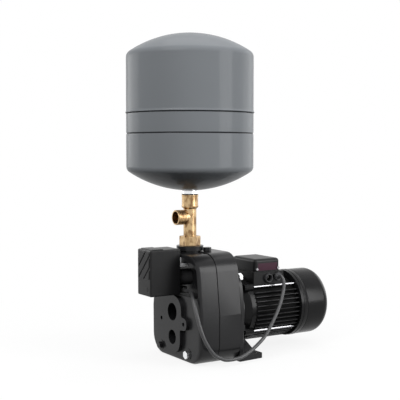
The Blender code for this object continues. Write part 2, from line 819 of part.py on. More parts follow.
def make_bracket():
    bracket = prism("bracket", [bracket_outline()], BRACKET_FRONT_X, BRACKET_REAR_X, "X")
    soften(bracket, BRACKET_EDGE, on_plane_x(BRACKET_REAR_X), 1)
    front_x = BRACKET_FRONT_X + 0.001
    near = BRACKET_FOOT_HALF - 0.001
    corners = [
        (FOOT_END_X, FOOT_END_HALF, FOOT_ROUND),
        (front_x, near, 0),
        (front_x, -near, 0),
        (FOOT_END_X, -FOOT_END_HALF, FOOT_ROUND),
    ]
    foot = prism("foot", [rounded(corners)], 0, FOOT_THICK, "Z")
    axis = (0, 0, SHAFT_Z)
    lantern = rod("lantern", LANTERN_RADIUS, BRACKET_REAR_X - 0.002, LANTERN_END_X, at=axis, sides=28)
    gussets = []
    for side in (-1, 1):
        outer = side * (BRACKET_FOOT_HALF - GUSSET_INSET)
        inner = outer - side * GUSSET_THICK
        corners = [
            (BRACKET_REAR_X - 0.002, FOOT_THICK - 0.002),
            (BRACKET_REAR_X + GUSSET_RUN, FOOT_THICK - 0.002),
            (BRACKET_REAR_X - 0.002, FOOT_THICK + GUSSET_RISE),
        ]
        gussets.append(prism("gusset", [corners], min(outer, inner), max(outer, inner), "-Y"))
    fuse(bracket, foot, lantern, *gussets)
    hollow_radius = LANTERN_RADIUS - LANTERN_WALL
    hollow = rod("hollow", hollow_radius, BRACKET_REAR_X, LANTERN_END_X + 0.01, at=axis, sides=28)
    seal_end = BRACKET_REAR_X - 0.002
    seal_bore = rod("seal_bore", SEAL_RADIUS + SEAT, BRACKET_FRONT_X - 0.01, seal_end, at=axis, sides=24)
    journal = JOURNAL_RADIUS + RUNNING
    shaft_bore = rod("shaft_bore", journal, BRACKET_FRONT_X, BRACKET_REAR_X + 0.01, at=axis)
    cut(bracket, hollow, seal_bore, shaft_bore)
    low = BRACKET_FRONT_X - 0.01
    high = BRACKET_REAR_X + 0.01
    for y, z in bolt_places():
        cut(bracket, rod("hole", BOLT_RADIUS + SEAT, low, high, at=(0, y, z), sides=12))
    for y in (-FOOT_HOLE_Y, FOOT_HOLE_Y):
        place = (FOOT_HOLE_X, y, 0)
        cut(bracket, rod("foot_hole", FOOT_HOLE_RADIUS, -0.01, FOOT_THICK + 0.01, "Z", place, 20))
    finish(bracket, "motor_bracket", "cast_iron_paint")


def make_bracket_bolts():
    for number, (y, z) in enumerate(bolt_places(), 1):
        seat = BRACKET_REAR_X + SEAT
        head = rod("head", BOLT_HEAD_RADIUS, seat, seat + BOLT_HEAD_THICK, at=(0, y, z), sides=6)
        shank = rod("shank", BOLT_RADIUS, seat - BOLT_REACH, seat + 0.001, at=(0, y, z), sides=12)
        finish(fuse(head, shank), f"bracket_bolt_{number}", "zinc")


def make_diffuser():
    """A cup round the wheel, pushed over the end of the suction duct."""
    socket = SUCTION_RADIUS + DUCT_WALL + SEAT
    plate_x = WHEEL_FRONT_X - RUNNING - 0.001 - DIFFUSER_WALL
    outer = DIFFUSER_RADIUS
    rim_end = WHEEL_REAR_X + 0.003
    cup = turned(
        "cup",
        [
            (0, plate_x),
            (outer, plate_x),
            (outer, rim_end),
            (outer - DIFFUSER_WALL, rim_end),
            (outer - DIFFUSER_WALL, plate_x + DIFFUSER_WALL),
            (0, plate_x + DIFFUSER_WALL),
        ],
        "X",
        (0, 0, SHAFT_Z),
        28,
    )
    way = turned(
        "way",
        [
            (0, DUCT_END_X - 0.02),
            (socket, DUCT_END_X - 0.02),
            (socket, DUCT_END_X + SEAT),
            (SUCTION_RADIUS - 0.002, DUCT_END_X + SEAT),
            (SUCTION_RADIUS - 0.002, plate_x + 0.02),
            (0, plate_x + 0.02),
        ],
        "X",
        (0, 0, SUCTION_Z),
        26,
    )
    sleeve_radius = socket + DIFFUSER_WALL
    sleeve_low = DUCT_END_X - 0.008
    collar = rod("collar", sleeve_radius, sleeve_low, plate_x + 0.001, at=(0, 0, SUCTION_Z), sides=26)
    fuse(cup, collar)
    cut(cup, way)
    finish(cup, "diffuser", "black_plastic")


def blade_outline(turn):
    """One backward-curved blade, from the eye to the rim, seen along the shaft."""
    inner = WHEEL_HUB_RADIUS + 0.004
    outer = WHEEL_RADIUS - 0.001
    steps = 4
    sides = ([], [])
    for k in range(steps + 1):
        share = k / steps
        radius = inner + (outer - inner) * share
        angle = turn + math.radians(BLADE_SWEEP) * share**0.8
        spread = BLADE_THICK / 2 / radius
        for side, sign in zip(sides, (1, -1)):
            here = angle + sign * spread
            side.append((radius * math.cos(here), SHAFT_Z + radius * math.sin(here)))
    return sides[0] + sides[1][::-1]


def make_impeller():
    """A closed wheel: front shroud with its eye, curved blades, back plate and hub."""
    place = (0, 0, SHAFT_Z)
    front_plate = turned(
        "front_plate",
        [
            (WHEEL_EYE_RADIUS, WHEEL_FRONT_X),
            (WHEEL_RADIUS, WHEEL_FRONT_X + 0.003),
            (WHEEL_RADIUS, WHEEL_FRONT_X + 0.003 + WHEEL_PLATE),
            (WHEEL_EYE_RADIUS, WHEEL_FRONT_X + WHEEL_PLATE),
        ],
        "X",
        place,
        28,
    )
    plate_low = WHEEL_REAR_X - WHEEL_PLATE
    back_plate = rod("back_plate", WHEEL_RADIUS, plate_low, WHEEL_REAR_X, at=place, sides=28)
    hub = rod("hub", WHEEL_HUB_RADIUS, WHEEL_FRONT_X, WHEEL_REAR_X + 0.001, at=place)
    fuse(back_plate, hub)
    for number in range(BLADE_COUNT):
        outline = blade_outline(2 * math.pi * number / BLADE_COUNT)
        blade = prism("blade", [outline], WHEEL_FRONT_X + 0.0042, WHEEL_REAR_X - 0.001, "X")
        fuse(back_plate, blade)
    fuse(back_plate, front_plate)
    bore = rod("bore", SHAFT_RADIUS + SEAT, WHEEL_FRONT_X - 0.01, WHEEL_REAR_X + 0.01, at=place)
    finish(cut(back_plate, bore), "impeller", "stainless", place)


def make_impeller_nut():
    low = WHEEL_FRONT_X - SEAT - WHEEL_NUT_THICK
    outlines = [
        circle(WHEEL_NUT_RADIUS, 0, SHAFT_Z, 6),
        circle(SHAFT_RADIUS + SEAT, 0, SHAFT_Z),
    ]
    nut = prism("nut", outlines, low, low + WHEEL_NUT_THICK, "X")
    finish(nut, "impeller_nut", "stainless")


def make_seals():
    place = (0, 0, SHAFT_Z)
    bore = SHAFT_RADIUS + RUNNING
    seat = turned(
        "seat",
        [
            (bore, SEAL_FACE_X + SEAT),
            (SEAL_RADIUS, SEAL_FACE_X + SEAT),
            (SEAL_RADIUS, BRACKET_FRONT_X + SEAL_SEAT_DEPTH),
            (bore, BRACKET_FRONT_X + SEAL_SEAT_DEPTH),
        ],
        "X",
        place,
    )
    finish(seat, "seal_seat", "ceramic")
    ring = turned(
        "ring",
        [
            (SHAFT_RADIUS + SEAT, WHEEL_REAR_X + 0.001 + SEAT),
            (SEAL_RADIUS - 0.003, WHEEL_REAR_X + 0.001 + SEAT),
            (SEAL_RADIUS - 0.003, SEAL_FACE_X - 0.003),
            (SEAL_RADIUS - 0.005, SEAL_FACE_X),
            (SHAFT_RADIUS + SEAT, SEAL_FACE_X),
        ],
        "X",
        place,
    )
    finish(ring, "seal_ring", "rubber")


def make_shaft():
    """The shaft steps up to its bearings and the rotor's seat, and down again to the fan."""
    front_shoulder = BRACKET_FRONT_X + SEAL_SEAT_DEPTH + RUNNING
    core_low = CORE_FRONT_X
    core_high = CORE_REAR_X
    rear_end = FAN_X + FAN_WIDTH
    profile = [
        (0, SHAFT_FRONT_X),
        (SHAFT_RADIUS - 0.001, SHAFT_FRONT_X),
        (SHAFT_RADIUS, SHAFT_FRONT_X + 0.001),
        (SHAFT_RADIUS, front_shoulder),
        (JOURNAL_RADIUS, front_shoulder),
        (JOURNAL_RADIUS, core_low - 0.004),
        (ROTOR_SEAT_RADIUS, core_low - 0.004),
        (ROTOR_SEAT_RADIUS, core_high + 0.004),
        (JOURNAL_RADIUS, core_high + 0.004),
        (JOURNAL_RADIUS, rear_end - 0.001),
        (JOURNAL_RADIUS - 0.001, rear_end),
        (0, rear_end),
    ]
    finish(turned("shaft", profile, "X", (0, 0, SHAFT_Z), 16), "shaft", "stainless", (0, 0, SHAFT_Z))


def sleeve(name, look, inner, outer, low, high, sides=20):
    """A plain ring about the shaft."""
    profile = [(inner, low), (outer, low), (outer, high), (inner, high)]
    finish(turned(name, profile, "X", (0, 0, SHAFT_Z), sides), name, look)


def make_motor_inside():
    journal = JOURNAL_RADIUS + RUNNING
    frame_bore = FRAME_RADIUS - FRAME_WALL
    for name, low in (("front_bearing", FRONT_BEARING_X), ("rear_bearing", REAR_BEARING_X)):
        sleeve(name, "steel", journal, BEARING_RADIUS, low, low + BEARING_THICK)
    core_in = ROTOR_SEAT_RADIUS + SEAT
    core_out = CORE_BORE - AIR_GAP
    sleeve("rotor_core", "steel", core_in, core_out, CORE_FRONT_X, CORE_REAR_X, 24)
    sleeve("stator_core", "steel", CORE_BORE, frame_bore - SEAT, CORE_FRONT_X, CORE_REAR_X, 24)
    winding_in = CORE_BORE + 0.004
    winding_out = frame_bore - 0.004
    for name, low, high in (
        ("winding_front", CORE_FRONT_X - SEAT - WINDING_REACH, CORE_FRONT_X - SEAT),
        ("winding_rear", CORE_REAR_X + SEAT, CORE_REAR_X + SEAT + WINDING_REACH),
    ):
        sleeve(name, "copper", winding_in, winding_out, low, high)


def fin_profile():
    """The finned outside of the motor frame, plain under the box and by the tie rods."""
    rod_angles = [math.degrees(math.atan2(z - SHAFT_Z, y)) % 360 for y, z in ROD_PLACES]
    rod_room = math.degrees((ROD_RADIUS + FIN_ROOT) / FRAME_RADIUS) + 1
    box_angle = math.degrees(math.acos(BOX_HALF / FRAME_RADIUS)) - 2
    root = math.degrees(FIN_ROOT / 2 / FRAME_RADIUS)
    tip = math.degrees(FIN_TIP / 2 / FIN_RADIUS)
    outline = []
    count = int(360 // FIN_PITCH)
    for number in range(count):
        angle = 360 * (number + 0.5) / count
        by_rod = any(abs(angle - found) < rod_room for found in rod_angles)
        under_box = box_angle < angle < 180 - box_angle
        tip_radius = LOW_FIN_RADIUS if abs(angle - 270) < LOW_FIN_ANGLE else FIN_RADIUS
        points = [(-root, FRAME_RADIUS), (-tip, tip_radius), (tip, tip_radius), (root, FRAME_RADIUS)]
        if by_rod or under_box:
            points = [points[0], points[-1]]
        for offset, radius in points:
            here = math.radians(angle + offset)
            outline.append((radius * math.cos(here), SHAFT_Z + radius * math.sin(here)))
    return outline


def make_stator_frame():
    bore = circle(FRAME_RADIUS - FRAME_WALL, 0, SHAFT_Z, 36)
    frame = prism("frame", [fin_profile(), bore], FRAME_FRONT_X, FRAME_REAR_X, "X")
    finish(frame, "stator_frame", "motor_paint")


def lugs(low, high):
    """Round lugs on the front shield at the four tie rods."""
    return [rod("lug", LUG_RADIUS, low, high, at=(0, y, z), sides=10) for y, z in ROD_PLACES]


def rod_holes(low, high):
    radius = ROD_RADIUS + SEAT
    return [rod("rod_hole", radius, low, high, at=(0, y, z), sides=8) for y, z in ROD_PLACES]


def make_shields():
    place = (0, 0, SHAFT_Z)
    front_low = LANTERN_END_X + SEAT
    front_high = FRAME_FRONT_X - SEAT
    journal = JOURNAL_RADIUS + RUNNING
    seat = BEARING_RADIUS + SEAT
    seat_high = front_high - SHIELD_WALL
    rim_low = front_high - SHIELD_RIM
    bore = FRAME_RADIUS - FRAME_WALL
    profile = [
        (journal + 0.002, front_low),
        (SHIELD_HUB_RADIUS, front_low),
        (SHIELD_RADIUS - 0.002, rim_low),
        (SHIELD_RADIUS, rim_low + 0.002),
        (SHIELD_RADIUS, front_high),
        (bore, front_high),
        (bore, rim_low + SHIELD_WALL),
        (SHIELD_HUB_RADIUS - SHIELD_WALL, front_low + SHIELD_WALL),
        (seat + 0.006, front_low + SHIELD_WALL),
        (seat + 0.006, seat_high + 0.002),
        (seat, seat_high + 0.002),
        (seat, FRONT_BEARING_X - SEAT),
        (journal + 0.002, FRONT_BEARING_X - SEAT),
    ]
    front = turned("front", profile, "X", place, 28)
    lug_low = front_high - LUG_LENGTH
    fuse(front, *lugs(lug_low, front_high))
    cut(front, *rod_holes(lug_low + 0.003, front_high + 0.01))
    finish(front, "front_shield", "motor_paint")

    rear_low = FRAME_REAR_X + SEAT
    rear_high = rear_low + REAR_SHIELD_THICK
    rim = COVER_RADIUS - COVER_WALL - SEAT
    profile = [
        (seat, rear_low),
        (rim + COVER_WALL, rear_low),
        (rim + COVER_WALL, COVER_FRONT_X - SEAT),
        (rim, COVER_FRONT_X - SEAT),
        (rim, rear_high),
        (journal + 0.002, rear_high),
        (journal + 0.002, REAR_BEARING_X + BEARING_THICK + SEAT),
        (seat, REAR_BEARING_X + BEARING_THICK + SEAT),
    ]
    rear = turned("rear", profile, "X", place, 36)
    cut(rear, *rod_holes(rear_low - 0.01, rear_high + 0.01))
    finish(rear, "rear_shield", "motor_paint")


def make_tie_rods():
    low = FRAME_FRONT_X - SEAT - ROD_REACH
    seat = FRAME_REAR_X + REAR_SHIELD_THICK + 2 * SEAT
    for number, (y, z) in enumerate(ROD_PLACES, 1):
        bar = rod("bar", ROD_RADIUS, low, seat + ROD_NUT_THICK + 0.002, at=(0, y, z), sides=8)
        nut = rod("nut", ROD_NUT_RADIUS, seat, seat + ROD_NUT_THICK, at=(0, y, z), sides=6)
        finish(fuse(bar, nut), f"tie_rod_{number}", "zinc")


def make_fan():
    """A hub, a plate and straight blades, so that the fan blows alike both ways."""
    place = (0, 0, SHAFT_Z)
    hub = rod("hub", FAN_HUB_RADIUS, FAN_X, FAN_X + FAN_WIDTH - 0.002, at=place)
    plate_low = FAN_X + 0.001
    plate = rod("plate", FAN_RADIUS - 0.014, plate_low, plate_low + FAN_PLATE, at=place, sides=24)
    fuse(hub, plate)
    for number in range(FAN_BLADES):
        blade = block(
            "blade",
            (FAN_X + 0.002, -0.0012, FAN_HUB_RADIUS - 0.002),
            (FAN_X + FAN_WIDTH, 0.0012, FAN_RADIUS),
        )
        blade.data.transform(
            Matrix.Translation(place) @ Matrix.Rotation(2 * math.pi * number / FAN_BLADES, 4, "X")
        )
        fuse(hub, blade)
    bore = rod("bore", JOURNAL_RADIUS + SEAT, FAN_X - 0.01, FAN_X + FAN_WIDTH + 0.01, at=place)
    finish(cut(hub, bore), "cooling_fan", "black_plastic", place)


def make_fan_cover():
    """A deep cup with a round rear edge and a ring of air slots."""
    outer = COVER_RADIUS
    inner = outer - COVER_WALL
    corner_steps = 3
    profile = [(inner, COVER_FRONT_X), (outer, COVER_FRONT_X)]
    for k in range(corner_steps + 1):
        turn = math.pi / 2 * k / corner_steps
        profile.append(
            (
                outer - COVER_ROUND + COVER_ROUND * math.cos(turn),
                COVER_REAR_X - COVER_ROUND + COVER_ROUND * math.sin(turn),
            )
        )
    profile.append((0, COVER_REAR_X))
    profile.append((0, COVER_REAR_X - COVER_WALL))
    inner_round = COVER_ROUND - COVER_WALL
    for k in range(corner_steps + 1):
        turn = math.pi / 2 * (1 - k / corner_steps)
        profile.append(
            (
                inner - inner_round + inner_round * math.cos(turn),
                COVER_REAR_X - COVER_WALL - inner_round + inner_round * math.sin(turn),
            )
        )
    cover = turned("cover", profile[2:] + profile[:2], "X", (0, 0, SHAFT_Z), 36)
    for number in range(GRILLE_SLOTS):
        slot = block(
            "slot",
            (COVER_REAR_X - 0.01, -GRILLE_SLOT_WIDTH / 2, GRILLE_IN),
            (COVER_REAR_X + 0.01, GRILLE_SLOT_WIDTH / 2, GRILLE_OUT),
        )
        turn = Matrix.Rotation(2 * math.pi * (number + 0.5) / GRILLE_SLOTS, 4, "X")
        slot.data.transform(Matrix.Translation((0, 0, SHAFT_Z)) @ turn)
        cut(cover, slot)
    finish(cover, "fan_cover", "motor_paint")


def make_terminal_box():
    low = (BOX_FRONT_X, -BOX_HALF, BOX_FLOOR_Z)
    high = (BOX_REAR_X, BOX_HALF, BOX_TOP_Z)
    base = block("base", low, high, BOX_ROUND, 2, upright)
    saddle_place = (0, 0, SHAFT_Z)
    saddle_low = BOX_FRONT_X - 0.01
    saddle = rod("saddle", FRAME_RADIUS + SEAT, saddle_low, BOX_REAR_X + 0.01, at=saddle_place, sides=48)
    lid_half = BOX_HALF + LID_OVERHANG
    floor = SHAFT_Z + FRAME_RADIUS + SEAT + BOX_WALL
    mouth = 2 * BOX_WALL
    room = block(
        "room",
        (LID_FRONT_X + mouth, -BOX_HALF + BOX_WALL, floor),
        (LID_REAR_X - mouth, BOX_HALF - BOX_WALL, BOX_TOP_Z + 0.01),
    )
    cut(base, saddle, room)
    cable_hole_x = CABLE_GLAND_X - CABLE_HOLE_SHIFT
    for x, z in ((OPEN_GLAND_X, OPEN_GLAND_Z), (cable_hole_x, CABLE_GLAND_Z)):
        hole = rod("gland_hole", GLAND_HOLE_RADIUS, BOX_HALF - 0.01, BOX_HALF + 0.01, "-Y", (x, 0, z), 16)
        cut(base, hole)
    finish(base, "terminal_base", "black_plastic")

    seal_low = BOX_TOP_Z + SEAT
    seal_high = seal_low + LID_SEAL_THICK
    outer = [(LID_REAR_X, BOX_HALF - 0.001), (LID_FRONT_X, BOX_HALF - 0.001)]
    inner_y = BOX_HALF - BOX_WALL
    inner = [(LID_REAR_X - LID_SEAL_WIDTH, inner_y), (LID_FRONT_X + LID_SEAL_WIDTH, inner_y)]
    outlines = [pair + [(x, -y) for x, y in reversed(pair)] for pair in (outer, inner)]
    finish(prism("seal", outlines, seal_low, seal_high, "Z"), "terminal_gasket", "rubber")

    lid_low = seal_high + SEAT
    lid_top = lid_low + LID_RISE
    lid = block(
        "lid",
        (LID_FRONT_X, -lid_half, lid_low),
        (LID_REAR_X, lid_half, lid_top),
        LID_ROUND,
        3,
        lambda edge: max(vert.co.z for vert in edge.verts) > lid_top - WELD,
    )
    hollow = block(
        "hollow",
        (LID_FRONT_X + LID_WALL, -lid_half + LID_WALL, lid_low - 0.01),
        (LID_REAR_X - LID_WALL, lid_half - LID_WALL, lid_top - LID_WALL),
        LID_ROUND - LID_WALL,
        1,
    )
    cut(lid, hollow)
    finish(lid, "terminal_lid", "black_plastic")

    seat = lid_half + SEAT
    for number, x in enumerate((LID_FRONT_X + LID_SCREW_INSET, LID_REAR_X - LID_SCREW_INSET), 1):
        place = (x, 0, lid_low + LID_SCREW_RISE)
        screw = rod("screw", LID_SCREW_RADIUS, seat, seat + LID_SCREW_THICK, "-Y", place, 12)
        finish(screw, f"lid_screw_{number}", "zinc")

    block_low = floor + SEAT
    inside_low = LID_FRONT_X + TERMINALS_INSET
    inside_high = LID_REAR_X - TERMINALS_INSET
    terminals = block(
        "terminals",
        (inside_low, TERMINALS_NEAR_Y, block_low),
        (inside_high, TERMINALS_FAR_Y, block_low + TERMINALS_RISE),
    )
    finish(terminals, "terminal_block", "ceramic")
    can_place = (0, CAPACITOR_Y, block_low + CAPACITOR_RADIUS + SEAT)
    can = rod("can", CAPACITOR_RADIUS, inside_low, inside_high, at=can_place, sides=20)
    finish(can, "run_capacitor", "aluminium")


def gland(x, z, tip_y, tip_radius):
    """A hexagon gland nut on the box's near side, with a round collar that may taper."""
    face = BOX_HALF + SEAT
    place = (x, 0, z)
    nut = rod("nut", GLAND_RADIUS, face, face + GLAND_NUT_REACH, "-Y", place, 6)
    collar_radius = GLAND_RADIUS - GLAND_COLLAR_INSET
    return fuse(nut, rod("collar", collar_radius, face, tip_y, "-Y", place, 24, tip_radius))


def make_glands():
    tip = BOX_HALF + SEAT + GLAND_REACH
    open_gland = gland(OPEN_GLAND_X, OPEN_GLAND_Z, tip, GLAND_RADIUS - GLAND_COLLAR_INSET)
    place = (OPEN_GLAND_X, 0, OPEN_GLAND_Z)
    cut(open_gland, rod("bore", OPEN_GLAND_BORE, BOX_HALF - 0.01, tip + 0.01, "-Y", place, 20))
    finish(open_gland, "open_gland", "black_plastic")
    cord_start = -CORD_ROUTE[-1][1] - SEAT
    cable_gland = gland(CABLE_GLAND_X, CABLE_GLAND_Z, cord_start, CORD_RADIUS + GLAND_TIP)
    finish(cable_gland, "cable_gland", "black_plastic")


def make_tee():
    socket_low = TEE_TOP_Z - TEE_SOCKET_RISE
    bore = TEE_RADIUS - TEE_WALL
    tail_low = FLANGE_TOP_Z - TAIL_REACH
    socket_bore = TEE_SOCKET_RADIUS - TEE_WALL
    collar = 0.0018
    profile = [
        (0, tail_low),
        (TEE_RADIUS - 0.0002, tail_low),
        (TEE_RADIUS, UNION_TOP_Z + 0.001),
        (TEE_RADIUS, socket_low - 0.002),
        (TEE_SOCKET_RADIUS - 0.001, socket_low),
        (TEE_SOCKET_RADIUS, socket_low + collar),
        (TEE_SOCKET_RADIUS, TEE_TOP_Z - 0.001),
        (TEE_SOCKET_RADIUS - 0.001, TEE_TOP_Z),
        (0, TEE_TOP_Z),
    ]
    tube = turned("tube", profile, "Z", sides=24)
    place = (0, 0, BRANCH_Z)
    thread_start = BRANCH_END_X + BRANCH_THREAD
    branch = turned(
        "branch",
        [
            (0, BRANCH_END_X),
            (BRANCH_RADIUS - 0.001, BRANCH_END_X),
            (BRANCH_RADIUS, BRANCH_END_X + 0.001),
            (BRANCH_RADIUS, thread_start - 0.001),
            (BRANCH_NECK_RADIUS, thread_start + 0.001),
            (BRANCH_NECK_RADIUS, 0.001),
            (0, 0.001),
        ],
        "X",
        place,
        26,
    )
    water_way = turned(
        "water_way",
        [
            (0, tail_low - 0.01),
            (bore, tail_low - 0.01),
            (bore, socket_low + 0.002),
            (socket_bore, socket_low + 0.006),
            (socket_bore, TEE_TOP_Z + 0.01),
            (0, TEE_TOP_Z + 0.01),
        ],
        "Z",
        sides=22,
    )
    mouth = BRANCH_RADIUS - TEE_WALL
    throat = BRANCH_NECK_RADIUS - TEE_WALL
    side_way = turned(
        "side_way",
        [
            (0, BRANCH_END_X - 0.01),
            (mouth, BRANCH_END_X - 0.01),
            (mouth, thread_start - 0.003),
            (throat, thread_start),
            (throat, 0),
            (0, 0),
        ],
        "X",
        place,
        22,
    )
    fuse(tube, branch)
    cut(tube, water_way, side_way)
    finish(tube, "brass_tee", "brass")

    low = FLANGE_TOP_Z + SEAT
    nut = rod("nut", UNION_RADIUS, low, UNION_TOP_Z, "Z", sides=6)
    chamfer = turned(
        "chamfer",
        [
            (0, low - 0.01),
            (UNION_RADIUS + 0.01, low - 0.01),
            (UNION_RADIUS + 0.01, UNION_TOP_Z - UNION_CHAMFER),
            (UNION_RADIUS - 0.003, UNION_TOP_Z + 0.001),
            (0, UNION_TOP_Z + 0.001),
        ],
        "Z",
        sides=24,
    )
    boolean(nut, "INTERSECT", [chamfer])
    cut(nut, rod("bore", TEE_RADIUS + SEAT, low - 0.01, UNION_TOP_Z + 0.01, "Z", sides=24))
    finish(nut, "union_nut", "brass")


def tank_head(shrink, steps=4, knuckle_steps=3):
    """A dished head as (radius, rise) points, from the apex to the straight wall."""
    crown = TANK_CROWN - shrink
    knuckle = TANK_KNUCKLE - shrink
    radius = TANK_RADIUS - shrink
    centre_r = radius - knuckle
    reach = crown - knuckle
    centre_drop = math.sqrt(reach**2 - centre_r**2)
    join = math.asin(centre_r / reach)
    points = []
    for k in range(steps + 1):
        turn = join * k / steps
        points.append((crown * math.sin(turn), crown * (1 - math.cos(turn)) + shrink))
    for k in range(1, knuckle_steps + 1):
        turn = join + (math.pi / 2 - join) * k / knuckle_steps
        points.append(
            (
                centre_r + knuckle * math.sin(turn),
                crown - centre_drop - knuckle * math.cos(turn) + shrink,
            )
        )
    return points


def make_tank():
    bead_low = TANK_SEAM_Z - TANK_BEAD_WIDTH / 2
    bead_high = TANK_SEAM_Z + TANK_BEAD_WIDTH / 2
    inner_radius = TANK_RADIUS - TANK_WALL
    top_outer = [(r, TANK_TOP_Z - rise) for r, rise in tank_head(0)]
    top_inner = [(r, TANK_TOP_Z - rise) for r, rise in tank_head(TANK_WALL, 2, 1)]
    valve_hole = VALVE_STEM_RADIUS + SEAT
    top_outer[0] = (valve_hole, top_outer[0][1])
    top_inner[0] = (valve_hole, top_inner[0][1])
    bead_radius = TANK_RADIUS + TANK_BEAD
    lap = inner_radius + TANK_BEAD
    upper = top_outer + [
        (TANK_RADIUS, bead_high + 0.001),
        (bead_radius, bead_high - 0.001),
        (bead_radius, bead_low + 0.001),
        (bead_radius - 0.001, bead_low),
        (lap + 0.001, bead_low),
        (lap + 0.001, bead_high - 0.002),
        (inner_radius, bead_high - 0.002),
    ]
    upper += top_inner[::-1]
    finish(turned("upper", upper, "Z", sides=TANK_SIDES), "tank_upper_shell", "tank_paint")

    low_outer = [(r, TANK_BOTTOM_Z + rise) for r, rise in tank_head(0)]
    low_inner = [(r, TANK_BOTTOM_Z + rise) for r, rise in tank_head(TANK_WALL, 2, 1)]
    neck_hole = NECK_RADIUS - 0.004
    low_outer[0] = (neck_hole, low_outer[0][1])
    low_inner[0] = (neck_hole, low_inner[0][1])
    half = TANK_GROOVE_WIDTH / 2
    groove_out = TANK_RADIUS - TANK_GROOVE
    lower = low_inner[::-1]
    lower += low_outer
    lower += [
        (TANK_RADIUS, TANK_GROOVE_Z - half),
        (groove_out, TANK_GROOVE_Z),
        (TANK_RADIUS, TANK_GROOVE_Z + half),
        (TANK_RADIUS, bead_low - SEAT - 0.002),
        (lap, bead_low - SEAT - 0.001),
        (lap, bead_high - 0.0025 - SEAT),
        (lap - TANK_WALL, bead_high - 0.0025 - SEAT),
        (inner_radius, bead_low - 0.003),
        (inner_radius, TANK_GROOVE_Z + half),
        (inner_radius - TANK_GROOVE, TANK_GROOVE_Z),
        (inner_radius, TANK_GROOVE_Z - half),
    ]
    finish(turned("lower", lower, "Z", sides=TANK_SIDES), "tank_lower_shell", "tank_paint")

    ring_out = inner_radius - TANK_GROOVE - SEAT
    clamp = turned(
        "clamp",
        [
            (ring_out - CLAMP_THICK, TANK_GROOVE_Z - CLAMP_WIDTH / 2),
            (ring_out, TANK_GROOVE_Z - CLAMP_WIDTH / 2),
            (ring_out, TANK_GROOVE_Z + CLAMP_WIDTH / 2),
            (ring_out - CLAMP_THICK, TANK_GROOVE_Z + CLAMP_WIDTH / 2),
        ],
        "Z",
        sides=TANK_SIDES,
    )
    finish(clamp, "clamp_ring", "steel")

    hang = ring_out - CLAMP_THICK - SEAT
    thick = MEMBRANE_THICK
    edge_z = TANK_GROOVE_Z + CLAMP_WIDTH / 2
    bottom_z = edge_z - MEMBRANE_DEPTH
    belly = [(0, bottom_z), (hang * 0.6, bottom_z + 0.010), (hang - 0.010, bottom_z + 0.027)]
    membrane = turned(
        "membrane",
        belly
        + [(hang, edge_z - 0.012), (hang, edge_z)]
        + [(hang - thick, edge_z), (hang - thick, edge_z - 0.011)]
        + [(r - thick if r else 0, z + thick) for r, z in belly[::-1]],
        "Z",
        sides=TANK_SIDES // 2,
    )
    finish(membrane, "diaphragm", "rubber")


def make_tank_fittings():
    apex = TANK_BOTTOM_Z
    ring_top = apex - SEAT
    ring_low = ring_top - NECK_RING_THICK
    bore = NECK_BORE_RADIUS
    stub_low = ring_low - NECK_STUB
    stub = TEE_SOCKET_RADIUS - TEE_WALL - SEAT
    spigot = NECK_RADIUS - 0.004 - SEAT
    profile = [
        (bore, stub_low),
        (stub - 0.001, stub_low),
        (stub, stub_low + 0.001),
        (stub, ring_low),
        (NECK_RADIUS, ring_low),
        (NECK_RADIUS, ring_top),
        (spigot, ring_top),
        (spigot, apex + TANK_WALL + 0.003),
        (bore, apex + TANK_WALL + 0.003),
    ]
    finish(turned("neck", profile, "Z", sides=24), "tank_neck", "zinc")
    seal_high = ring_low - SEAT
    seal = turned(
        "seal",
        [
            (stub + SEAT, seal_high - NECK_SEAL_THICK),
            (NECK_RADIUS, seal_high - NECK_SEAL_THICK),
            (NECK_RADIUS, seal_high),
            (stub + SEAT, seal_high),
        ],
        "Z",
        sides=24,
    )
    finish(seal, "neck_gasket", "rubber")
    top = TANK_TOP_Z
    valve = turned(
        "valve",
        [
            (0, top - VALVE_STEM),
            (VALVE_STEM_RADIUS, top - VALVE_STEM),
            (VALVE_STEM_RADIUS, top + SEAT),
            (VALVE_RADIUS, top + SEAT),
            (VALVE_RADIUS, top + SEAT + VALVE_PROUD * 0.4),
            (VALVE_RADIUS - 0.002, top + SEAT + VALVE_PROUD),
            (0, top + SEAT + VALVE_PROUD),
        ],
        "Z",
        sides=20,
    )
    finish(valve, "air_valve", "black_plastic")


